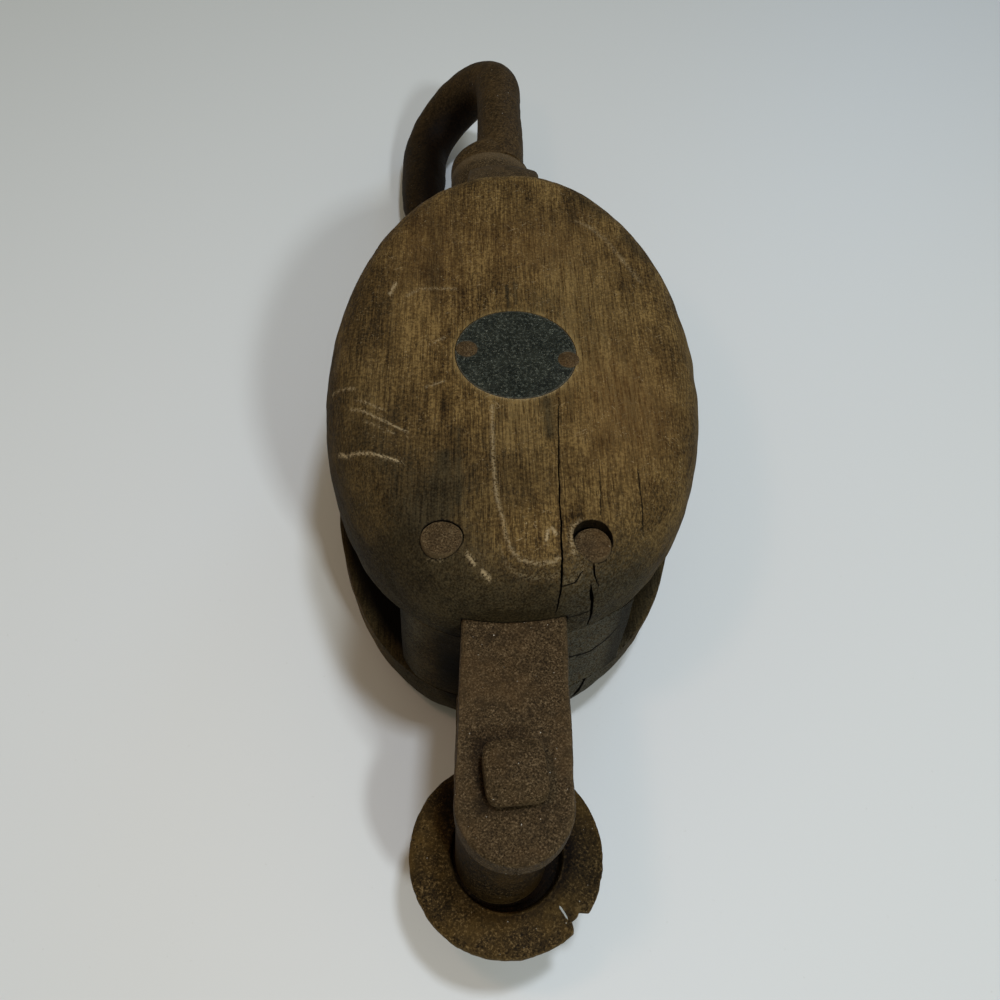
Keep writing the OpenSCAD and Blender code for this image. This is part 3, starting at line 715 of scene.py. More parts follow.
def shell_outline(angle, inset, worn):
    """Outline at an angle, drawn in by the inset: |x / a| ** n + |y / b| ** n = 1 with n a little
    over 2 and larger at the becket end, which is also worn off and drawn to the left."""
    power = np.where(np.sin(angle) > 0, HOOK_END_POWER, BECKET_END_POWER)
    tail = np.maximum(0, -np.sin(angle))
    x = (SHELL_W / 2 - inset) * signed_power(np.cos(angle), power) - TAIL_LEFT * tail ** 4
    y = (SHELL_L / 2 - inset) * signed_power(np.sin(angle), power) + worn * tail ** 2
    return np.stack([x * np.cos(SHELL_TURN) - y * np.sin(SHELL_TURN) + SHELL_MIDDLE[0],
                     x * np.sin(SHELL_TURN) + y * np.cos(SHELL_TURN) + SHELL_MIDDLE[1]], axis=-1)


def crowded_angles(count, middle=-85.0, spread=26.0, extra=2.2):
    """Angles all round, closer together about the middle one, in degrees."""
    fine = np.linspace(-180, 180, 4001)
    weight = 1 + extra * np.exp(-((fine - middle) / spread) ** 2)
    total = np.concatenate([[0], np.cumsum((weight[1:] + weight[:-1]) / 2)])
    return np.radians(np.interp(np.arange(count) / count * total[-1], total, fine))


# %% [markdown]
# The marks on the upper cheek are strokes and patches at places along it: scratches, a pale lobe
# at the becket end, a pale ring round the pin plate, dark stains. A stroke is the nearness to a
# line of a few points and a patch is a soft oval, so both have soft ends. Tables say where they
# are: a stroke is (line, width, strength), and a patch (strength, middle, half widths, slant).

# %% Strokes and patches
def nearness(place, line, width):
    """1 on a line through some points, falling off as exp(-(distance / width) ** 2)."""
    best = np.zeros(place.shape[:-1])
    line = np.array(line, float)
    for start, end in zip(line[:-1], line[1:]):
        along = end - start
        share = unit(((place - start) @ along) / (along @ along))
        away = np.linalg.norm(place - start - share[..., None] * along, axis=-1)
        best = np.maximum(best, np.exp(-(away / width) ** 2))
    return best


def patch(place, middle, half_x, half_y, slant=0.0):
    """A soft oval patch, 1 in its middle, that leans by the slant in mm across per mm along."""
    x = place[..., 0] - middle[0] - slant * (place[..., 1] - middle[1])
    y = place[..., 1] - middle[1]
    return np.exp(-(x / half_x) ** 2 - (y / half_y) ** 2)


def all_strokes(place, table):
    """Sum of strokes."""
    return sum(strength * nearness(place, line, width) for line, width, strength in table)


def all_patches(place, table):
    """Sum of patches."""
    return sum(strength * patch(place, *where) for strength, *where in table)


# %% Tables of marks
LOBE_EDGE = [(-5.5, -24), (-5.5, -46), (-4.5, -60.5), (-2.8, -68.3), (-2.0, -74.3), (-0.4, -79.0),
             (1.9, -81.6), (6.2, -82.5), (11.1, -82.0), (13.5, -80.6)]
LOBE_SIDE = [(17.6, -78.8), (17.1, -76.7), (17.0, -73.3), (17.7, -70.2), (19.9, -68.8)]
LEDGES = [[(-3.8, -77.0), (-2.1, -82.2), (0.5, -84.9), (4.8, -85.8), (10.6, -85.1), (13.8, -84.1)],
          [(14.6, -85.8), (17.2, -85.1), (19.3, -83.7), (20.4, -82.1), (19.4, -81.0)]]
CHALK_MARKS = [[(-13.3, -79.6), (-11.2, -82.6)], [(-8.9, -84.6), (-6.8, -86.2)], [(-41, 27), (-39, 33)]]
PALE_STROKES = [
    ([(-58, -13), (-50, -17)], 0.4, 0.7), ([(-51, -24.5), (-41.5, -30), (-32, -35.5)], 0.35, 0.75),
    ([(-49, -22), (-40, -26.5)], 0.3, 0.6), ([(-46, -31), (-36, -36)], 0.3, 0.5),
    ([(-54, -38), (-51, -41), (-43, -44), (-34, -47)], 0.45, 0.95),
    ([(-35, 26.5), (-30.5, 30.5), (-17.5, 31)], 0.4, 0.6), ([(-26, 3), (-21, 6.5)], 0.4, 0.6),
    ([(-27, -16.5), (-21, -13.5)], 0.4, 0.6), ([(33, 67.5), (38, 60.5), (43.5, 48.5)], 0.9, 0.32),
    ([(28, 71), (33, 67.5)], 0.9, 0.3), ([(43.5, 48.5), (49, 37)], 0.9, 0.3),
    ([(9.6, -75.2), (10.3, -71.7), (11.8, -71.0), (12.6, -73.0)], 0.5, 0.9),
    ([(-24.5, -79.9), (-20.5, -80.9)], 0.35, 0.35), (LOBE_EDGE, 0.65, 0.50), (LOBE_SIDE, 0.8, 0.5)]
PALE_STROKES += [(line, 0.55, 0.85) for line in CHALK_MARKS] + [(line, 0.6, 0.22) for line in LEDGES]
DARK_STROKES = [([(0.3, 33), (0.8, 22)], 0.7, 0.9), ([(3.2, 35), (3.6, 24)], 0.6, 0.7),
                ([(12.2, -21), (12.6, -36)], 2.0, 0.85), ([(-20.5, -44), (-21, -66)], 2.2, 0.7),
                ([(-16, -34), (-16, -62)], 1.2, 0.4), ([(-24, 70), (-25, 20)], 1.6, 0.22),
                ([(-28, 78), (-27, 30)], 3.0, 0.2), ([(-20, 92), (-18, 50)], 2.2, 0.2),
                ([(46, 62), (52, 52)], 3.0, 0.6), ([(30, 86), (38, 76)], 3.5, 0.5)]
RUBBED_PATCHES = [(0.72, (3.5, -29), 9, 12), (0.16, (4, -66), 8, 12), (0.4, (20, 25), 14, 45),
                  (0.35, (38, -15), 15, 50), (0.2, (-36, 15), 9, 40)]
STAINED_PATCHES = [(0.85, (-25, -68), 17, 25, 0.15), (0.50, (-45, -44), 17, 34), (0.30, (5, -55), 14, 20),
                   (0.28, (-52, 0), 9, 60), (0.25, (34, -72), 14, 14), (-0.75, (5.5, -74), 10, 9)]
REDDISH_PATCHES = [(0.9, (38, -22), 16, 26), (0.5, (12, 55), 22, 18), (0.5, (-28, 55), 14, 35)]
print("strokes:", len(PALE_STROKES) + len(DARK_STROKES), "patches:",
      len(RUBBED_PATCHES) + len(STAINED_PATCHES) + len(REDDISH_PATCHES))


# %% Marks of the two cheeks
def near_becket(place):
    """How far places are into the becket end, and the strap's painted shadow to its left there."""
    becket_end = unit((-place[..., 1] - 68) / 20)
    # Painted shadow that the strap throws on the wood to its left.
    strap_shadow = 0.9 * np.exp(-((place[..., 0] + 15.5) / 6) ** 4) * (place[..., 1] < -80)
    return becket_end, strap_shadow


def upper_cheek_marks(points):
    """Values for the points of the upper cheek."""
    place, height = points[..., :2], points[..., 2] - UP_Z
    depth = unit(1 - height / CHEEK_T)
    becket_end, strap_shadow = near_becket(place)
    from_plate = np.linalg.norm(place - PLATE_PLACE, axis=-1) - PLATE_R
    below_plate = unit((PLATE_PLACE[1] - place[..., 1]) / PLATE_R)
    marks = {
        "rubbed": all_patches(place, RUBBED_PATCHES) + 0.75 * np.exp(-(from_plate / 1.5) ** 2),
        "scratched": (all_strokes(place, PALE_STROKES)
                      + 0.55 * np.exp(-(from_plate / 0.45) ** 2) * below_plate),
        # The depth term makes the cheek darker towards its lower rim.
        "stain_and_shade": (0.86 * becket_end + 0.55 * unit(depth * 1.5 - 0.2)
                    + all_patches(place, STAINED_PATCHES) + all_strokes(place, DARK_STROKES)),
        "reddish": all_patches(place, REDDISH_PATCHES),
        "greyed": becket_end * (0.03 + 0.22 * unit((place[..., 0] - 12) / 8)),
        # Black as the strap's painted shadow low beside it, and a darker patch at the left of the becket
        # end.
        "split_and_shade": np.maximum(strap_shadow * unit(1 - height / 9),
                            0.3 * patch(place, (-32, -75), 12, 11))}
    return {title: unit(values) for title, values in marks.items()}


def lower_cheek_marks(points):
    """Values for the points of the lower cheek. Its inner face inside the outline is painted dark and black,
    as shade.
    """
    place, height = points[..., :2], LOW_Z - points[..., 2]
    becket_end, strap_shadow = near_becket(place)
    inner = unit(1 - height / 1.2)
    power = 2 / BECKET_END_POWER
    reach = (np.abs((place - SHELL_MIDDLE) / (SHELL_W / 2, SHELL_L / 2)) ** power).sum(axis=-1)
    # Painted shade on the inner face inside the outline, blackest at the left.
    hidden = unit((1 - reach) * 12) * np.clip(0.75 - place[..., 0] / 60, 0.4, 1)
    marks = {"rubbed": 0.0, "scratched": 0.0, "stain_and_shade": 0.85 * becket_end + 0.6 * inner + 0.45,
             "reddish": patch(place, (-58, -40), 8, 40) * (height < 12),
             "greyed": 0.6 * becket_end * unit((place[..., 0] - 16) / 4),
             # Black: painted shade on the inner face and the strap's painted shadow.
             "split_and_shade": np.maximum(hidden * inner, strap_shadow * unit(1 - height / 14))}
    return {title: unit(values) for title, values in marks.items()}


# %% [markdown]
# A Boolean leaves no values on the points that it makes. So a piece of wood is cut first, and its
# marks are then worked out from where its points are. Points that the wood didn't own before lie
# on a cut. They are black, apart from those in and right beside the plate's round seat: the dark
# inside the cracks, and painted shade in the groove, wells and holes.

# %% Cutting wood
def cut_wood(mesh, cutters, marks_of):
    """Cuts wood and then writes the marks that a function gives for its points."""
    mesh = combine(mark(mesh, own=1.0), cutters, "DIFFERENCE")
    own = np.zeros(len(mesh.vertices), np.float32)
    mesh.attributes["own"].data.foreach_get("value", own)
    points = points_of(mesh)
    marks = marks_of(points)
    from_plate = np.linalg.norm(points[:, :2] - PLATE_PLACE, axis=-1) - PLATE_R
    # Cut faces painted black: dark cracks, and painted shade in the groove, wells and holes.
    marks["split_and_shade"] = np.maximum(marks["split_and_shade"], 0.9 * (1 - own) * unit(from_plate - 0.5))
    return mark(mesh, **marks)


def crack(line, widths, depths, seed=0, lean=0.0, way=-90.0):
    """A wedge-shaped cutter along a crack: points (x, y, z on the surface), half widths and depths.
    The surface faces up, or leans by degrees towards a way round. The edges wander a little."""
    line = np.array(line, float)
    steps = np.linspace(0, len(line) - 1, 16 * (len(line) - 1) + 1)
    knots = np.arange(len(line))
    path = np.stack([np.interp(steps, knots, line[:, k]) for k in range(3)], axis=-1)
    half = np.interp(steps, knots, widths)[:, None]
    deep = np.interp(steps, knots, depths)[:, None]
    lean = np.radians(np.interp(steps, knots, np.broadcast_to(lean, len(line))))[:, None]
    way = np.radians(way)
    out = np.concatenate([np.sin(lean) * np.cos(way), np.sin(lean) * np.sin(way), np.cos(lean)], axis=1)
    across = np.cross(out, np.gradient(path, axis=0))
    across /= np.linalg.norm(across, axis=-1, keepdims=True)
    wander = 0.16 * lumps(path, 4.0, seed) + 0.08 * lumps(path, 1.1, seed + 1)
    path = path + across * wander[:, None]
    side = across * (half * (1 + 0.35 * lumps(path, 3.0, seed + 2)[:, None]))
    lift = 3 * out
    return closed_rings("crack", np.stack([path + side * 1.3 + lift, path - side * 1.3 + lift,
                                           path - side, path - out * deep, path + side], axis=1))


# %% One cheek
CHEEK_SIDES = 560
INNER_ROWS, WALL_ROWS, ROLL_ROWS, BACK_ROWS = 8, 7, 36, 88


def cheek_profile():
    """Inset and height of each ring, from the inner face round the edge, and its share of the way
    from the back's rim to its middle. Over the edge the inset is e (1 - cos t), the rise h sin t."""
    inset = np.concatenate([np.geomspace(30, 0.6, INNER_ROWS), np.full(WALL_ROWS, 0.0)])
    height = np.concatenate([np.zeros(INNER_ROWS), np.linspace(0.5, WALL_H, WALL_ROWS)])
    turn = np.linspace(0, np.pi / 2, ROLL_ROWS + 1)[1:]
    inset = np.concatenate([inset, EDGE_IN * (1 - np.cos(turn))])
    height = np.concatenate([height, WALL_H + (CHEEK_T - WALL_H) * np.sin(turn)])
    inward = np.concatenate([np.zeros(len(inset)), np.linspace(0, 1, BACK_ROWS + 1)[1:-1]])
    inset = np.concatenate([inset, np.full(BACK_ROWS - 1, EDGE_IN)])
    height = np.concatenate([height, np.full(BACK_ROWS - 1, CHEEK_T)])
    return inset, height, inward


def cheek_rings(upper):
    """Rings of a cheek. Its outline is drawn in along the profile and, on the back, towards the
    plate. Broad waves, dents and fine ridges of the grain then move each point along z and inwards."""
    angle = crowded_angles(CHEEK_SIDES)
    inset, height, inward = cheek_profile()
    outline = shell_outline(angle[None, :], inset[:, None], UPPER_TAIL_WORN if upper else 0.0)
    outline = outline + (PLATE_PLACE - outline) * inward[:, None, None]
    points = np.concatenate([outline, np.broadcast_to(height[:, None, None], outline.shape[:2] + (1,))],
                            axis=-1)
    seed = 3 if upper else 23
    lifted = unit(points[..., 2] / CHEEK_T)
    from_plate = np.linalg.norm(points[..., :2] - PLATE_PLACE, axis=-1)
    free = unit((from_plate - PLATE_R - 1) / 8)
    waves = 0.45 * lumps(points, 34, seed) + 0.22 * lumps(points, 11, seed + 1)
    ridges = (0.10 * lumps(points, 1.6, seed + 2, (1, 0.04, 1))
              + 0.07 * lumps(points, 3.0, seed + 3, (1, 0.08, 1)))
    points[..., 2] += lifted ** 2 * free * (waves - 0.12 + ridges)
    points[..., 2] += (height == 0)[:, None] * 0.06 * np.abs(lumps(points, 3.0, seed + 7))
    if upper:
        grooves = sum(nearness(points[..., :2], line, 0.8) for line in LEDGES)
        steps = 0.65 * grooves - 0.35 * nearness(points[..., :2], LOBE_EDGE, 0.8)
        points[..., 2] -= lifted * free * steps
    outward = points[..., :2] - SHELL_MIDDLE
    outward = outward / np.maximum(np.linalg.norm(outward, axis=-1, keepdims=True), 1e-6)
    rim = (np.abs(inset) < EDGE_IN)[:, None] * (height > 0)[:, None] * (1 - inward[:, None])
    stands = 0.35 + 0.45 * np.cos(angle) + 2.0 * np.maximum(0, np.sin(angle)) ** 2
    nibbled = 0.35 * lumps(points, 9, seed + 4) + 0.18 * lumps(points, 2.6, seed + 5, (1, 0.3, 1)) + stands
    points[..., :2] += outward * (rim * nibbled)[..., None]
    if upper:
        over_strap = np.exp(-((points[..., 0] - SCORE_SHIFT) / 19) ** 6) * (points[..., 1] < -60)
        points[..., 1] += 1.7 * over_strap * np.exp(-((points[..., 2] - STRAP_T) / 6) ** 2)
    return points


# %% [markdown]
# The upper cheek's cutters are the groove for the strap, the plate's round seat, an oval well for
# each rivet's head, the holes for pin and rivets, and the cracks. The longest crack runs from near
# the plate over the rolled edge, so its lean grows to 85 degrees along it. A well is given by its
# shift from the rivet, its half widths and its depth.

# %% Upper cheek
RIVET_WELLS = [(0.0, 0.55, 6.4, 5.9, 3.6), (-0.65, 0.9, 5.95, 6.2, 6.0)]
UPPER_CRACKS = [
    ([(16.2, -20, 97.3), (15.4, -34, 97.3), (14.4, -53, 97.3), (14.3, -68, 97.3), (14.0, -76.8, 97.2),
      (14.1, -81, 95.8), (14.0, -87.2, 89.5), (13.5, -89.5, 84.8), (13.1, -91, 80)],
     [0.07, 0.14, 0.18, 0.21, 0.24, 0.24, 0.22, 0.18, 0.08], [2, 4, 5, 6, 6, 5, 4, 3, 1], 5,
     [0, 0, 0, 0, 4, 25, 55, 75, 85]),
    ([(38.9, -49, 97.2), (39.1, -59.9, 96.5), (39.5, -69.5, 92)], [0.03, 0.09, 0.04], [0.5, 2, 0.5], 9),
    ([(27.3, -48, 97.3), (26.8, -57, 97.3), (26.3, -66, 97.2)], [0.02, 0.07, 0.04], [0.4, 1, 0.5], 11),
    ([(23.3, -79.5, 93.8), (23.6, -80.8, 92.4), (23.9, -82.5, 90.2), (25.6, -84, 86.6)],
     [0.30, 0.30, 0.24, 0.06], [3, 2.5, 2, 0.5], 13, 45),
    ([(22.8, -84.3, 88), (23.1, -85.6, 85.6), (23.9, -86.6, 82.2), (24.4, -87.6, 76.4), (24.6, -88.4, 68)],
     [0.12, 0.42, 0.48, 0.36, 0.30], [1, 4, 4, 3, 3], 15, [55, 65, 75, 88, 90], -70),
    ([(14.2, -86.6, 90.4), (18.2, -85.1, 90.4), (20.4, -82.6, 92.5)], [0.12, 0.16, 0.06], [1, 1, 0.5],
     17, 50),
    ([(16.8, -90.4, 76.5), (20.5, -89.4, 77.5), (24.2, -87.6, 78.5)], [0.12, 0.16, 0.06], [1, 1.5, 0.5],
     19, 88, -75)]

rings = cheek_rings(upper=True)
rings[..., 2] += UP_Z
cutters = [slab((SCORE_SHIFT - SCORE_HALF, -SHELL_L, UP_Z - 1),
                (SCORE_SHIFT + SCORE_HALF, SHELL_L, UP_Z + STRAP_T + 0.08)),
           turned("recess", [(PLATE_R - 0.02, TOP_Z - PLATE_T), (PLATE_R + 0.05, TOP_Z + 2)], 128,
                  (*PLATE_PLACE, 0)),
           rod(PIN_R + 0.03, (0, 0, UP_Z - 2), (0, 0, TOP_Z + 2))]
for (x, y), (aside, further, half_x, half_y, depth) in zip(RIVETS, RIVET_WELLS):
    cutters.append(oval_rod(x + aside, y + further, half_x, half_y, TOP_Z - depth, TOP_Z + 3))
cutters += [rod(RIVET_R + 0.05, (x, y, UP_Z - 2), (x, y, TOP_Z + 2)) for x, y in RIVETS]
cutters += [crack(*facts) for facts in UPPER_CRACKS]
mesh = cut_wood(closed_rings("upper_cheek_wood", rings), cutters, upper_cheek_marks)
piece(mesh, "block", shell_wood, ["upper_cheek"])

# %% Lower cheek
WASHER_SEAT_R, WASHER_SEAT_H = 7.15, 6.05

rings = cheek_rings(upper=False)
rings[..., 2] = np.maximum(LOW_Z - rings[..., 2], 0.0)
cutters = [slab((-SCORE_HALF, -SHELL_L, LOW_Z - STRAP_T - 0.08), (SCORE_HALF, SHELL_L, LOW_Z + 1)),
           turned("recess", [(PLATE_R + 0.6, -2), (PLATE_R + 0.35, PLATE_T)], 128, (*PLATE_PLACE, 0)),
           rod(PIN_R + 0.03, (0, 0, -2), (0, 0, LOW_Z + 2))]
cutters += [rod(WASHER_SEAT_R, (x, y, -2), (x, y, WASHER_SEAT_H)) for x, y in RIVETS]
cutters += [crack([(27.8, -86.4, 30), (26.0, -87.0, 21.9), (24.0, -87.2, 16.5)], [0.35, 0.85, 0.5],
                  [2, 5, 3], 25, [90, 95, 105], -68)]
cutters += [rod(RIVET_R + 0.05, (x, y, -2), (x, y, LOW_Z + 2)) for x, y in RIVETS]
mesh = cut_wood(closed_rings("lower_cheek_wood", rings), cutters, lower_cheek_marks)
piece(mesh, "block", shell_wood, ["lower_cheek"])

# %% [markdown]
# ## End blocks
#
# Between the cheeks stand two blocks, hollowed round the sheave. Each is a bent box: one
# parameter runs across it, one from its hollow to the shell's outline and one up. Its three pairs
# of faces are grids, merged along their edges.

# %% Bent boxes
BOX_STEPS = (60, 26, 26)
BLOCK_MIDDLE_X, BLOCK_HALF_W = SHELL_MIDDLE[0] / 2, 35.5


def bent_box(name, place):
    """A closed box whose points place(u, v, w) gives, with u, v and w from 0 to 1 as arrays."""
    points, quads, offset = [], [], 0
    for fixed in range(3):
        free = [np.linspace(0, 1, steps) for k, steps in enumerate(BOX_STEPS) if k != fixed]
        first, second = np.meshgrid(*free, indexing="ij")
        for side in (0.0, 1.0):
            shares = [first, second]
            shares.insert(fixed, np.full(first.shape, side))
            points.append(place(*shares).reshape(-1, 3))
            quads.append(grid_faces(*first.shape, closed=False) + offset)
            offset += first.size
    return merged(mesh_from(name, np.concatenate(points), np.concatenate(quads)))


def outline_y(x, sign, worn):
    """Place along Y of the shell's outline over x, on the hook's side or the becket's, by
    interpolation on the outline itself."""
    angle = np.radians(np.linspace(8, 172, 800)) * sign
    rim = shell_outline(angle, 0.1, worn)
    order = np.argsort(rim[:, 0])
    return np.interp(x, rim[order, 0], rim[order, 1])


def end_block_place(sign, hollow_r, seed):
    """Placing function of an end block: straight up, from a round hollow out to the outline, with
    an uneven outer face and rounded corners."""
    def place(u, v, w):
        """Points at shares of the way across, outwards and up."""
        across = 2 * u - 1
        x = BLOCK_MIDDLE_X + BLOCK_HALF_W * across * 0.995
        inner = sign * np.sqrt(hollow_r ** 2 - x ** 2)
        outer = outline_y(x, sign, 0.0) * (1 - w) + outline_y(x, sign, UPPER_TAIL_WORN) * w
        z = LOW_Z + 0.05 + (UP_Z - LOW_Z - 0.1) * w
        points = np.stack([x, inner + (outer - inner) * v, z], axis=-1)
        inside = (4 * w * (1 - w)) ** 0.5
        worn = 0.35 * rough_lumps(points, 14, seed) + 0.22 * lumps(points, 2.2, seed + 3, (1, 1, 0.15)) - 0.3
        corner = unit(1 - (1 - np.abs(across)) * BLOCK_HALF_W / 6)
        right = (u > 0.5) * (sign < 0)
        points[..., 1] += sign * v * (inside * worn - (3.0 - 2.0 * right) * corner ** 2)
        points[..., 0] += 0.4 * lumps(points, 12, seed + 5) * inside * across
        points[..., 0] += 3.0 * right * across ** 4 * v ** 2
        return points
    return place


# %% Two end blocks
BLOCK_CRACKS = [
    ([(17.0, -91.0, 52.5), (21.4, -89.6, 50.3), (27.7, -86.4, 48.6), (32.5, -83.0, 51.4), (36.5, -80.0, 57)],
     [0.16, 0.20, 0.22, 0.18, 0.05], [3, 3, 3, 2, 1], 31, 90, -66),
    ([(17.0, -91.0, 69), (18.5, -90.6, 60), (19.5, -90.2, 52)], [0.1, 0.14, 0.05], [1, 2, 1], 33, 90, -66)]
END_BLOCKS = {"hook_end_block": (1, 77.6, 41, [(-21.3, 88.0), (26.7, 88.0)], 5.0, []),
              "becket_end_block": (-1, 62.6, 47, RIVETS, RIVET_R, BLOCK_CRACKS)}


def end_block_marks(points, hollow_r):
    """Values for the points of an end block: painted shade, black near its hollow and at its sides,
    the strap's painted shadow beside the strap, greyed at the right and the left."""
    x, y, z = points.T
    # Painted shade: black near the sheave's hollow, at the sides and in the strap's painted shadow.
    inside = unit((np.hypot(x, y) - hollow_r) / 8)
    beside = unit((np.abs(x - BLOCK_MIDDLE_X) - BLOCK_HALF_W + 5) / 5)
    strap_shadow = 0.95 * np.exp(-((x + 15.5) / 8) ** 4 - ((z - 48) / 25) ** 2) * (y < 0)
    return {"rubbed": 0.0, "scratched": 0.0, "reddish": 0.0, "stain_and_shade": 0.85,
            "greyed": 0.6 * unit((x - 13) / 6) + 0.3 * unit((-25 - x) / 5),
            "split_and_shade": np.maximum(np.maximum(0.85 - inside, 0.7 * beside), strap_shadow)}


for node_name, (sign, hollow_r, seed, holes, radius, cracks) in END_BLOCKS.items():
    mesh = bent_box(node_name + "_wood", end_block_place(sign, hollow_r, seed))
    cutters = [rod(radius + 0.05, (x, y, LOW_Z - 2), (x, y, UP_Z + 2)) for x, y in holes]
    cutters += [crack(*facts) for facts in cracks]
    mesh = cut_wood(mesh, cutters, lambda points: end_block_marks(points, hollow_r))
    piece(mesh, "block", shell_wood, [node_name])

# %% [markdown]
# ## Strap
#
# The strap is one forged bar: it comes up the block on one side, bends round at the crown and
# goes back on the other side. So it is a bar along a path, with a section whose edges are
# rounded, and ends that are half round in plan. The crown swells into a boss with an eye, which
# is turned separately and joined on.

# %% The bar
STRAP_END_Y, ARCH_Y, CROWN_Y = 160.8, 123.15, 162.0
TIP_R = 16.3
LEG_MID_R = (UP_Z - LOW_Z + STRAP_T) / 2
STRAP_EDGE_R = 1.7
END_STEPS, LEG_STEPS, ARCH_STEPS = 26, 190, 56
HALF_SECTION = 22
TAPER_Y, TAPER_SHARE = [-138, -92, 0], [1.0, 15.75 / TIP_R, STRAP_W / 2 / TIP_R]
SHIFT_Y, SHIFT_X = [-138, -92, 0, 110, 125], [0, 1.15, 0.8, 0.8, 2.2]
BOLT_Y, BOLT_R = 137.8, 6.35
BOLT_LEAN = np.radians(4.5)
PIVOT = np.array([0.0, -BOLT_Y, UP_Z + STRAP_T])
HEAD_HALF, HEAD_H = 8.5, 6.4


def strap_path():
    """Way from the nearer end of the bar, place (y, z) and direction of its outer side: two legs
    and a half circle."""
    leg_l, arch_l = STRAP_END_Y + ARCH_Y, np.pi * LEG_MID_R
    near_end = TIP_R * (1 - np.cos(np.linspace(0.03, np.pi / 2, END_STEPS)))
    leg = np.concatenate([near_end, np.linspace(TIP_R, leg_l, LEG_STEPS)[1:]])
    turn = np.linspace(0, np.pi, ARCH_STEPS)[1:-1]
    ones = np.ones(len(leg))
    way = np.concatenate([leg, leg_l + turn / np.pi * arch_l, 2 * leg_l + arch_l - leg[::-1]])
    y = np.concatenate([leg - STRAP_END_Y, ARCH_Y + LEG_MID_R * np.sin(turn), leg[::-1] - STRAP_END_Y])
    z = MID_Z + LEG_MID_R * np.concatenate([ones, np.cos(turn), -ones])
    lean = np.concatenate([0 * ones, turn, np.pi * ones])
    return np.minimum(way, 2 * leg_l + arch_l - way), y, z, lean


def strap_rings():
    """Rings of the bar, and a mark of painted shadow that the bolt's head throws round itself, most
    behind it and to its left. Across the bar a point is a share of the half width, which is that of a
    circle near the ends. Its thickness is full in the middle and rounded off near the outline."""
    from_end, y, z, lean = strap_path()
    short = np.maximum(TIP_R - from_end, 0)[:, None]
    width = np.sqrt(np.maximum(TIP_R ** 2 - short[:, 0] ** 2, 0.04)) * np.interp(y, TAPER_Y, TAPER_SHARE)
    across = width[:, None] * np.sin(np.linspace(-np.pi / 2, np.pi / 2, HALF_SECTION))
    from_edge = np.where(short > 0, TIP_R - np.hypot(across, short), width[:, None] - np.abs(across))
    dip = STRAP_EDGE_R - np.clip(from_edge, 0, STRAP_EDGE_R)
    thick = STRAP_T / 2 - STRAP_EDGE_R + np.sqrt(STRAP_EDGE_R ** 2 - dip ** 2)
    across = np.concatenate([across, across[:, ::-1]], axis=1)
    thick = np.concatenate([thick, -thick[:, ::-1]], axis=1)
    lean_y, lean_z = np.sin(lean)[:, None], np.cos(lean)[:, None]
    points = np.stack([across, y[:, None] + thick * lean_y, z[:, None] + thick * lean_z], axis=-1)
    free = unit((np.abs(points[..., 1] + 20) - 78) / 8)
    forged = 0.30 * lumps(points, 13, 61) + 0.16 * lumps(points, 4.5, 62) + 0.07 * lumps(points, 1.7, 63)
    outward = np.stack([np.sign(across) * (np.abs(across) > width[:, None] * 0.97),
                        np.sign(thick) * lean_y, np.sign(thick) * lean_z], axis=-1)
    points += outward * (free * (forged - 0.12))[..., None]
    over_arch = np.maximum(0, lean_y) * (thick > 0)
    crowned = over_arch * (1.8 - 4.6 * (across / (STRAP_W / 2)) ** 2)
    points[..., 1] += crowned * lean_y
    points[..., 2] += crowned * lean_z
    upper = unit((points[..., 2] - MID_Z) / 15)
    points[..., 0] += upper * np.interp(points[..., 1], SHIFT_Y, SHIFT_X)
    # Painted shadow of the bolt's head on the strap, falling behind it and to its left.
    beyond_head = np.max(np.abs(points[..., :2] - PIVOT[:2]), axis=-1) - HEAD_HALF
    behind = np.clip(0.45 + (points[..., 1] - PIVOT[1]) / 40 - points[..., 0] / 18, 0.15, 0.95)
    return points, unit(1.0 - beyond_head / 3.0) * behind * (points[..., 2] > UP_Z)


# %% Crown, eye and holes
EYE_LEFT, SHANK_R = 2.0, 9.5
BOSS_IN_Y = CROWN_Y - 25.0
BOSS_PROFILE = [(14.5, 137.2), (16.5, 138.0), (17.6, 141.5), (18.3, 146), (18.8, 151), (19.0, 156),
                (19.0, CROWN_Y)]
BOSS_FLAT = 0.85


def leaning(x, y, z):
    """A point given round the becket bolt's own axis, with z still counted from the table."""
    y_turned = y * np.cos(BOLT_LEAN) + (z - PIVOT[2]) * np.sin(BOLT_LEAN)
    z_turned = -y * np.sin(BOLT_LEAN) + (z - PIVOT[2]) * np.cos(BOLT_LEAN)
    return np.stack(np.broadcast_arrays(PIVOT[0] + x, PIVOT[1] + y_turned, PIVOT[2] + z_turned), axis=-1)


def lay_along_y(mesh, flat=1.0):
    """Turns a form made round the Z axis so that its axis is the swivel's, along +Y, and flattens
    it in height by that share."""
    co = points_of(mesh) * MM
    laid = np.stack([co[:, 0] - EYE_LEFT * MM, co[:, 2], -co[:, 1] * flat + MID_Z * MM], axis=-1)
    mesh.vertices.foreach_set("co", laid.astype(np.float32).ravel())
    return merged(mesh)


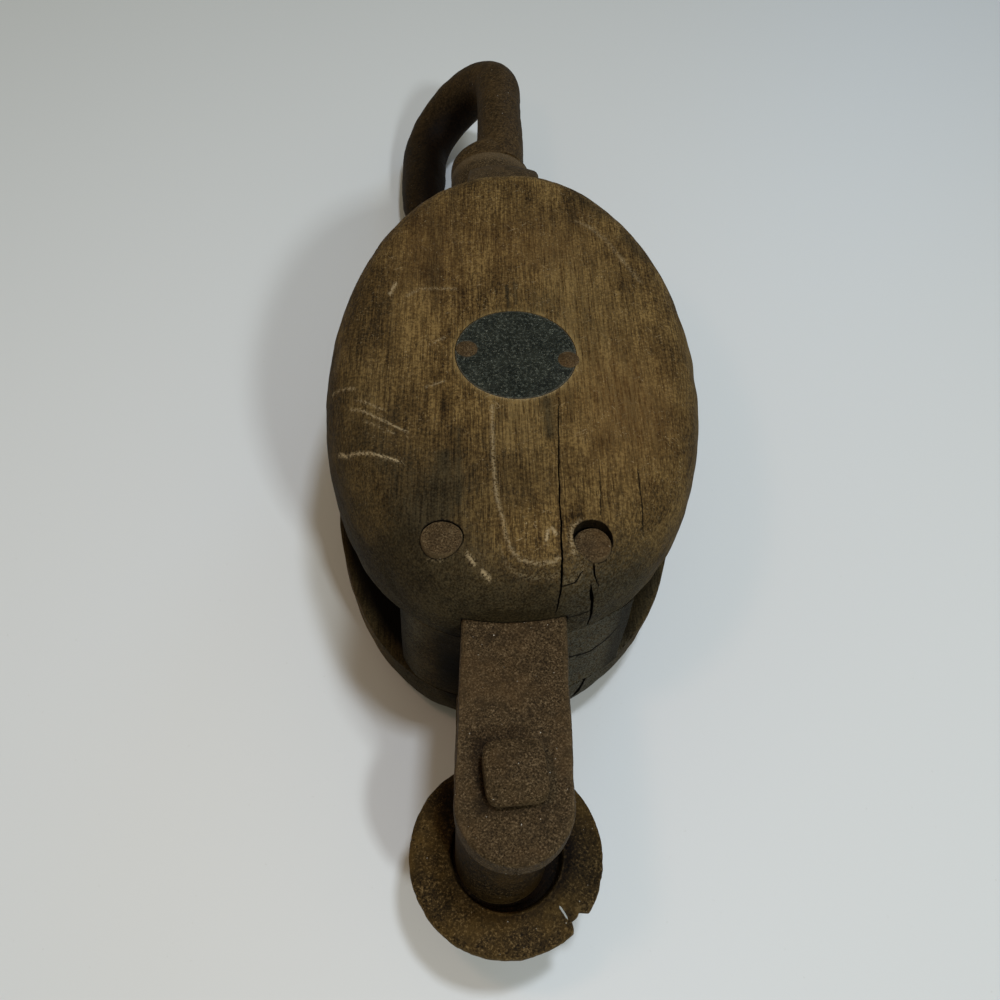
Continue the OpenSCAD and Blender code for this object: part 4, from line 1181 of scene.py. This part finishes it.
rings, painted_shade = strap_rings()
mesh = closed_rings("strap_iron_bar", rings, {"painted_shade": painted_shade})
mesh = combine(mesh, [lay_along_y(turned("boss", BOSS_PROFILE), BOSS_FLAT)], "UNION")
cutters = [rod(BOLT_R + 0.06, leaning(0, 0, LOW_Z - STRAP_T - 4), leaning(0, 0, UP_Z + STRAP_T + 4)),
           rod(PIN_R + 0.03, (0, 0, LOW_Z - STRAP_T - 2), (0, 0, UP_Z + STRAP_T + 2)),
           rod(SHANK_R + 0.08, (-EYE_LEFT, BOSS_IN_Y - 2, MID_Z), (-EYE_LEFT, CROWN_Y + 2, MID_Z))]
mesh = combine(mesh, cutters, "DIFFERENCE")
piece(mesh, "block", strap_iron, ["inner_strap"])

# %% [markdown]
# ## Hook
#
# The hook is a round bar along a path in one plane: a neck, a half circle and a bill that tapers
# to a blunt point. It starts in a collar of flat ovals that shift aside and up into the neck. The
# whole plane is turned about the swivel's axis until the bill touches the table.

# %% Bar of the hook
NECK_D, BOWL_D, BILL_D, BILL_TIP_D = 22.2, 26.0, 23.4, 13.0
NECK_BACK, BILL_OUT = 6.5, 50.5
BOWL_Y, BILL_END_Y = 228.0, 176.0
TIP_ROUND = 3.2
COLLAR_Y = CROWN_Y + 0.08
HOOK_DROP = np.arcsin((MID_Z - BILL_D / 2 - 0.3) / BILL_OUT)
NECK_STEPS, BOWL_STEPS, BILL_STEPS, TIP_STEPS = 44, 110, 64, 10
HOOK_SIDES = 72


def smooth_step(first, second, share):
    """Value between two, with level ends."""
    return first + (second - first) * (3 - 2 * share) * share * share


def hook_rings():
    """Rings of the hook in its own plane: out, along and across. Each ring stands square to the
    path, whose heading turns half round over the bowl. The hook gets a mark that darkens it towards
    the bill, with painted shade on the inner side of the bowl and bill."""
    neck, bowl = np.linspace(0, 1, NECK_STEPS)[:-1], np.linspace(0, 1, BOWL_STEPS)
    bill, tip = np.linspace(0, 1, BILL_STEPS)[1:], np.linspace(0, np.pi / 2, TIP_STEPS)[1:-1]
    straight = np.ones(len(bill) + len(tip))
    middle, radius = (BILL_OUT - NECK_BACK) / 2, (BILL_OUT + NECK_BACK) / 2
    start_y = COLLAR_Y + 1
    out = np.concatenate([np.full(len(neck), -NECK_BACK), middle - radius * np.cos(np.pi * bowl),
                          BILL_OUT * straight])
    along = np.concatenate([start_y + (BOWL_Y - start_y) * neck, BOWL_Y + radius * np.sin(np.pi * bowl),
                            BOWL_Y - (BOWL_Y - BILL_END_Y) * bill, BILL_END_Y - TIP_ROUND * np.sin(tip)])
    heading = np.concatenate([np.full(len(neck), np.pi / 2), np.pi / 2 - np.pi * bowl,
                              -np.pi / 2 * straight])[:, None]
    thick = np.concatenate([
        np.full(len(neck), NECK_D),
        np.where(bowl < 0.5, smooth_step(NECK_D, BOWL_D, unit(2 * bowl)),
                 smooth_step(BOWL_D, BILL_D, unit(2 * bowl - 1))),
        BILL_D - (BILL_D - BILL_TIP_D) * bill ** 3.5, BILL_TIP_D * np.cos(tip)])[:, None]
    angle = all_round(HOOK_SIDES)
    side = thick / 2 * np.cos(angle)
    rings = np.stack([out[:, None] - side * np.sin(heading), along[:, None] + side * np.cos(heading),
                      thick / 2 * np.sin(angle)], axis=-1)
    centre = np.stack([out, along, 0 * out], axis=-1)[:, None, :]
    over_bowl = np.concatenate([0 * neck, bowl, straight])[:, None]
    bend = np.clip(1.6 - 2.2 * np.abs(over_bowl - 0.55), 0.25, 1) * unit(2.5 * over_bowl)
    # Painted shade on the inner side of the bowl and bill.
    inner_side = unit(-np.cos(angle)) ** 1.5 * bend
    beyond_collar = unit((rings[..., 1] - COLLAR_Y - 14) / 16)
    painted_shade = np.clip(0.12 * beyond_collar + 0.50 * over_bowl ** 2 + 0.7 * inner_side, 0, 0.97)
    free = unit((rings[..., 1] - COLLAR_Y - 6) / 8)
    forged = 0.35 * lumps(rings, 15, 71) + 0.20 * lumps(rings, 5.5, 72) + 0.08 * lumps(rings, 2.0, 73) - 0.02
    swell = 1 + 2 * free * forged / np.maximum(thick, 6)
    return centre + (rings - centre) * swell[..., None], painted_shade


def drop_hook(rings):
    """Turns the hook's plane about the swivel's axis, down to the table."""
    angle = np.pi - HOOK_DROP
    out, along, across = np.moveaxis(rings, -1, 0)
    x = out * np.cos(angle) + across * np.sin(angle) - EYE_LEFT
    z = -out * np.sin(angle) + across * np.cos(angle) + MID_Z
    return np.stack([x, along, z], axis=-1)


# %% [markdown]
# The collar's table gives each oval's way along the axis, its shift aside and up, and its half
# width and half height. The shank behind the collar ends in a head that is riveted over.

# %% Collar, shank and hook
COLLAR = [(0.0, -2.0, 0.0, 19.0, 16.15), (2.5, -2.4, 0.3, 18.8, 15.8), (5.0, -3.0, 0.9, 18.0, 15.1),
          (7.2, -3.4, 1.5, 17.1, 14.4), (9.0, -3.6, 2.1, 15.9, 13.7), (10.5, -3.5, 2.7, 14.4, 12.9),
          (12.0, -3.0, 3.3, 12.8, 12.0), (13.5, -2.2, 3.9, 11.2, 11.2), (15.0, -0.8, 4.4, 9.4, 10.2),
          (16.5, 0.6, 4.7, 7.6, 9.2)]
SHANK_HEAD_Y = 126.52
SHANK_PROFILE = [(10.6, SHANK_HEAD_Y), (12, SHANK_HEAD_Y + 1.6), (12, SHANK_HEAD_Y + 7.3),
                 (SHANK_R, SHANK_HEAD_Y + 7.31), (SHANK_R, COLLAR_Y + 3)]


def collar_rings(rings=41, sides=120):
    """Rings of the collar, between the ovals of its table."""
    table = np.array(COLLAR).T
    way = np.linspace(0, COLLAR[-1][0], rings)
    aside, up, half_w, half_h = (np.interp(way, table[0], column)[:, None] for column in table[1:])
    way, turn = way[:, None], all_round(sides)
    middle = np.stack([aside, COLLAR_Y + way, MID_Z + up], axis=-1)
    points = np.stack([aside + half_w * np.cos(turn), COLLAR_Y + way + 0 * turn,
                       MID_Z + up + half_h * np.sin(turn)], axis=-1)
    swell = 1 + 0.02 * lumps(points, 7, 77) * unit(way - 2)
    return middle + (points - middle) * swell[..., None]


collar = closed_rings("collar", collar_rings())
shank = lay_along_y(turned("shank", SHANK_PROFILE))
rings, painted_shade = hook_rings()
mesh = closed_rings("hook_forging", drop_hook(rings), {"painted_shade": painted_shade})
mesh = combine(mesh, [collar, shank], "UNION")
piece(mesh, "hook", hook_iron, ["hook"], sharp=50)

# %% [markdown]
# ## Plates, nails and rivets
#
# Small iron parts are turned forms whose faces are then dented by noise, so that no two heads are
# alike.

# %% Turned parts with hammered faces
def hammered(name, profile, middle, seed, amount, size, sides, aside=(0.0, 0.0), flat=1.0, slope=0.0):
    """A turned form whose points are pushed about by noise of that amount, in millimetres. Its
    upper part may stand aside and be an oval, narrower along Y, and its face slope down towards -Y."""
    rings = turned_rings(profile, sides)
    radius, height = np.array(profile, float).T
    upper = unit(height - height.max() + 4)[:, None]
    rings[..., 2] += upper * slope * rings[..., 1]
    rings[..., 1] *= 1 - upper * (1 - flat)
    rings[..., 0] += upper * aside[0]
    rings[..., 1] += upper * aside[1]
    rings = rings + np.array(middle, float)
    rings[..., 2] += amount * rough_lumps(rings, size, seed)
    outward = (rings[..., :2] - np.array(middle[:2])) / np.maximum(radius[:, None, None], 1)
    rings[..., :2] += (amount * 0.8 * lumps(rings, size * 1.6, seed + 5))[..., None] * outward
    return closed_rings(name, rings)


def face_profile(radius, high, dome, shares):
    """Profile of a domed face, h + d (1 - s * s), at shares s of its radius."""
    return [(radius * s, high + dome * (1 - s * s)) for s in shares]


def disc_profile(radius, low, high, edge, rings):
    """Profile of a flat disc with an eased edge, from the middle of its underside to the middle of
    its face."""
    inner = np.linspace(0.02, 1, rings)
    wall = [(radius, low + 0.1), (radius, high - edge)]
    return (face_profile(radius, low, 0, inner[:-1]) + wall
            + face_profile(radius - edge * 0.6, high, 0, inner[::-1]))


def joined(name, meshes):
    """Several closed forms in one piece, side by side."""
    work = bmesh.new()
    for part in meshes:
        work.from_mesh(part)
    both = bpy.data.meshes.new(name)
    work.to_mesh(both)
    work.free()
    return both


# %% Plates
NAIL_PLACES = [tuple(PLATE_PLACE + r * np.array([np.cos(a), np.sin(a)]))
               for r, a in ((17.9, np.radians(-8.2)), (16.6, np.radians(174.6)))]
NAIL_HEAD_R = 3.6
PLATES = {"upper_pin_plate": (TOP_Z, 1, 81, 0.035), "lower_pin_plate": (0.0, -1, 85, 0.0)}

for node_name, (face_z, sign, seed, rough) in PLATES.items():
    profile = disc_profile(PLATE_R - 0.1, -PLATE_T, 0.0, 0.35, 40)
    profile = [(radius, face_z + sign * height) for radius, height in profile]
    mesh = hammered(node_name + "_iron", profile, (*PLATE_PLACE, 0), seed, rough, 5, 120)
    low, high = sorted((face_z + 1.5 * sign, face_z - 3 * sign))
    cutters = [rod(NAIL_HEAD_R + 0.12, (x, y, low), (x, y, high)) for x, y in NAIL_PLACES]
    mesh = combine(mesh, cutters, "DIFFERENCE")
    piece(mesh, "block", plate_iron, [node_name])

# %% Nails and rivets
nails = []
for number, (x, y) in enumerate(NAIL_PLACES):
    profile = [(1.0, TOP_Z - 17.5), (1.7, TOP_Z - 16), (1.7, TOP_Z - PLATE_T - 0.05),
               (NAIL_HEAD_R - 0.1, TOP_Z - PLATE_T), (NAIL_HEAD_R, TOP_Z - 0.1)]
    profile += face_profile(NAIL_HEAD_R, TOP_Z + 0.1, 0.85, np.linspace(1, 0.03, 12))
    nails.append(hammered("nail", profile, (x, y, 0), 90 + 7 * number, 0.09, 1.8, 48))
piece(joined("upper_plate_nail_pair", nails), "block", fastening_iron,
      ["upper_plate_nails"])

RIVET_FACES = [(0.55, RIVET_HEAD_R, (0.0, 0.55), 0.92), (2.9, 5.6, (-0.6, 0.4), 1.0)]
rivets = []
for number, ((x, y), (sunk, radius, aside, flat)) in enumerate(zip(RIVETS, RIVET_FACES)):
    head = TOP_Z - sunk
    profile = [(3.6, 2.55), (5.1, 3.1), (5.2, 3.9), (RIVET_R, 4.0), (RIVET_R, head - 3.0),
               (radius - 0.1, head - 2.95), (radius, head - 0.6)]
    profile += face_profile(radius - 0.35, head, 0.35, np.linspace(1, 0.03, 16))
    rivets.append(hammered("rivet", profile, (x, y, 0), 110 + 9 * number, 0.16, 2.2, 64,
                           aside, flat, slope=0.07))
piece(joined("shell_rivet_pair", rivets), "block", fastening_iron, ["shell_rivets"])

# %% [markdown]
# ## Becket
#
# The bolt is a little bent, so its head, nut and the thimble's tube lean together. The head is a
# pillow over a rounded square. The flange lies loose and level on the lower leg: a dished ring
# with a ragged rim, a bite and a slit.

# %% Bolt and nut
NUT_HALF, NUT_H = 9.5, 9.5
NUT_SEAT = LOW_Z - STRAP_T - np.sqrt(0.5) * 2 * NUT_HALF * np.sin(BOLT_LEAN)
HEAD_SEAT = UP_Z + STRAP_T + np.sqrt(0.5) * 2 * HEAD_HALF * np.sin(BOLT_LEAN)
CORNER_POWER = 5.0


def square_outline(angle, half):
    """A square with round corners, the superellipse |x| ** p + |y| ** p = half ** p."""
    reach = (np.abs(np.cos(angle)) ** CORNER_POWER
             + np.abs(np.sin(angle)) ** CORNER_POWER) ** (-1 / CORNER_POWER)
    return half * np.stack([reach * np.cos(angle), reach * np.sin(angle)], axis=-1)


def square_pad(name, half, low, high, edge, dome, turn, seed, worn=0.0, sides=120):
    """A pillow over a rounded square, with an eased edge and a domed face, that leans with the bolt.
    Its face may be worn down towards -Y, by that slope."""
    roll = np.linspace(0, np.pi / 2, 10)
    inward = np.linspace(0, 1, 24)[1:-1]
    inset = np.concatenate([[half * 0.97, half * 0.5, 0.4, 0], edge * (1 - np.cos(roll)),
                            edge + (half - edge) * inward])
    height = np.concatenate([[low, low, low, low + 0.4], high - edge + edge * np.sin(roll),
                             high + dome * (1 - (1 - inward) ** 2)])
    x, y = np.moveaxis(square_outline(all_round(sides)[None, :], half - inset[:, None, None]), -1, 0)
    x, y = x * np.cos(turn) - y * np.sin(turn), x * np.sin(turn) + y * np.cos(turn)
    z = np.broadcast_to(height[:, None], x.shape)
    local = np.stack([x, y, z], axis=-1)
    upper = unit((height - low) / (high - low))[:, None]
    z = z + (0.16 * rough_lumps(local, 4.5, seed) - worn * np.maximum(0, -y - 0.45 * half)) * upper
    x = x * (1 + 0.02 * lumps(local, 6, seed + 4))
    y = y * (1 + 0.02 * lumps(local, 6, seed + 5))
    return closed_rings(name, leaning(x, y, z))


head = square_pad("becket_bolt_iron", HEAD_HALF, HEAD_SEAT, HEAD_SEAT + HEAD_H - 1.0, 1.2, 1.0,
                  np.radians(6), 131, worn=0.75)
stem = rod(BOLT_R, leaning(0, 0, 6.6), leaning(0, 0, HEAD_SEAT + 1))
piece(combine(head, [stem], "UNION"), "block", strap_iron, ["becket_bolt"])
nut = square_pad("becket_nut_iron", NUT_HALF, NUT_SEAT - NUT_H, NUT_SEAT - 0.3, 1.0, 0.3,
                 np.radians(18), 137)
bore = rod(BOLT_R + 0.05, leaning(0, 0, 2), leaning(0, 0, NUT_SEAT + 4))
piece(combine(nut, [bore], "DIFFERENCE"), "block", strap_iron, ["becket_nut"])

# %% Barrel
BARREL_R, BARREL_BORE_R = 13.9, 11.8
BARREL_LOW, BARREL_TOP = 31.7, 66.1
BARREL_SLACK = BARREL_BORE_R - BOLT_R - 0.08
BARREL_WAY = np.radians(20)
BARREL_ROUGH = 0.10


def looped_rings(name, points, painted_shade):
    """A skin over rings of points, whose last ring meets the first, with a mark of painted shade."""
    rows, sides = points.shape[:2]
    quads = grid_faces(rows + 1, sides) % (rows * sides)
    return merged(mesh_from(name, points.reshape(-1, 3), quads, {"painted_shade": painted_shade}))


def barrel_points(sides=120):
    """Rings of the tube, up its outside and down its bore, uneven by noise, with a mark of painted
    shade under the strap, darkest on its right side. It hangs against one side of the bolt."""
    share = np.linspace(0, 1, 40)
    outer = [(BARREL_R - 0.12, z) for z in BARREL_LOW + (BARREL_TOP - BARREL_LOW) * share]
    inner = [(BARREL_BORE_R + 0.12, z) for z in BARREL_TOP - 0.2 - (BARREL_TOP - BARREL_LOW - 0.4) * share]
    local = turned_rings(outer + inner, sides)
    radius = np.array(outer + inner)[:, :1]
    x, y, z = np.moveaxis(local, -1, 0)
    swell = 1 + BARREL_ROUGH * rough_lumps(local, 6, 151) / radius
    x = x * swell - BARREL_SLACK * np.sin(BARREL_WAY)
    y = y * swell - BARREL_SLACK * np.cos(BARREL_WAY)
    points = leaning(x, y, z + BARREL_ROUGH * 0.6 * rough_lumps(local, 5, 154))
    # Painted shade: dark all round under the strap, darker on the right.
    return points, 0.56 + 0.34 * unit(np.cos(all_round(sides) - 0.2)) + 0 * x


mesh = looped_rings("becket_barrel_iron", *barrel_points())
piece(mesh, "barrel", thimble_iron, ["becket_barrel"])

# %% [markdown]
# The flange's section is a loop too: it starts on the seat near the bolt, climbs the hub, runs out
# to the rim and comes back underneath. Each of its rings is worked out for all angles at once.

# %% Flange
FLANGE_MIDDLE = np.array([-0.137, -145.5])
FLANGE_R, FLANGE_BORE_R, FLANGE_SEAT_R, FLANGE_HUB_R = 29.4, 16.4, 11.0, 18.2
FLANGE_T, FLANGE_RISE = 2.2, 1.8
FLANGE_Z = LOW_Z + 0.3
SEAT_PROFILE = [(FLANGE_SEAT_R, 0.78), (13.5, 0.8), (15.9, 0.85), (16.3, 1.2), (16.6, 2.4), (16.9, 3.4),
                (17.3, 3.8)]
BITE_DEGREES = [-49.1, -47.3, -46.8, -45.3, -41.5, -38.4, -34.9]
BITE_REACH = [FLANGE_R, 28.2, 26.9, 26.9, 27.2, 26.7, FLANGE_R]


def flange_points(sides=420, steps=40):
    """Rings of the flange: over its seat, up its hub, over its face to the rim and back underneath,
    with a mark of painted shade. The rim turns down, is ragged by noise and has a bite, by degrees round it."""
    angle = np.linspace(-np.pi, np.pi, sides, endpoint=False)
    on_rim = FLANGE_R * np.stack([np.cos(angle), np.sin(angle), 0 * angle], axis=-1)
    rim = FLANGE_R - 0.05 + 0.22 * lumps(on_rim, 3.2, 161) + 0.12 * lumps(on_rim, 1.1, 162)
    rim = np.minimum(rim, np.interp(np.degrees(angle), BITE_DEGREES, BITE_REACH, left=99, right=99)
                     + 0.25 * lumps(on_rim, 1.2, 163))
    share = np.linspace(0, 1, steps)[:, None]
    start = SEAT_PROFILE[-1][0] + 0.3
    face_r = start + (rim - start) * share
    drop = FLANGE_RISE * (1 - unit((face_r - FLANGE_BORE_R) / (FLANGE_R - FLANGE_BORE_R)) ** 3)
    eased = 0.4 * unit((share - 0.965) / 0.035)
    on_face = np.stack([face_r * np.cos(angle), face_r * np.sin(angle), drop], axis=-1)
    face_z = drop + FLANGE_T + 0.20 * rough_lumps(on_face, 6, 165) - 0.1 - eased
    under_z = np.where(face_r > FLANGE_HUB_R, drop, 0) + 0.03
    seat_r, seat_z = np.array(SEAT_PROFILE).T[:, :, None] * np.ones(sides)
    foot = np.ones((1, sides))
    radius = np.concatenate([seat_r, face_r, np.maximum(face_r, FLANGE_HUB_R)[::-1], FLANGE_SEAT_R * foot])
    height = np.concatenate([seat_z, face_z, under_z[::-1], 0.03 * foot])
    points = np.stack([radius * np.cos(angle), radius * np.sin(angle), height], axis=-1)
    # Painted shade: near the hub, on the right where the strap and tube shade it, in the strap's shadow at
    # the left, and black in the gap on the seat.
    near_hub = unit(1 - (radius - 17.5) / 4.5) ** 1.5 * (1 - 0.8 * unit(-np.cos(angle)))
    right = unit(np.cos(angle - 0.15)) ** 3 * unit(1.2 - (radius - 18) / 12)
    seat = unit(1.0 - (radius - 15.5) / 2.4 * (0.35 + 0.65 * unit(-np.cos(angle - 0.9))))
    strap_shadow = np.exp(-((points[..., 0] + 17.5) / 4) ** 2 - ((points[..., 1] - 15) / 9) ** 2)
    painted_shade = np.where(radius < SEAT_PROFILE[-1][0] + 0.6, seat,
                     np.clip(0.8 * near_hub + 0.6 * right + 0.9 * strap_shadow, 0, 0.94))
    return points + np.array([*FLANGE_MIDDLE, FLANGE_Z]), painted_shade


mesh = looped_rings("thimble_flange_iron", *flange_points())
slit = crack([(15.0, -160.8, 33.5), (15.3, -161.3, 33.5), (17.0, -163.9, 33.2), (17.3, -164.4, 33)],
             [0.05, 0.30, 0.30, 0.05], [7, 7, 7, 7], 5, 13.1, -118.7)
mesh = combine(mesh, [slit], "DIFFERENCE")
piece(mesh, "flange", thimble_iron, ["thimble_flange"])

# %% [markdown]
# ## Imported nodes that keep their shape
#
# What is deep inside or only a plain ring has the right shape already, so it only gets its finish.

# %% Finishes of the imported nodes
KEPT = {"hook_end_dowels": sheave_wood, "rivet_washers": fastening_iron, "sheave_pin": pin_steel,
        "lower_plate_nails": fastening_iron, "sheave": sheave_wood, "sheave_bush": bush_bronze,
        "upper_bush_plate": bush_bronze, "lower_bush_plate": bush_bronze, "bush_rivets": bush_bronze,
        "hook_washer": hook_iron}
for node_name, material in KEPT.items():
    for finish_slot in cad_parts[node_name].material_slots:
        finish_slot.material = material
print("packed nodes with a new finish:", len(KEPT))
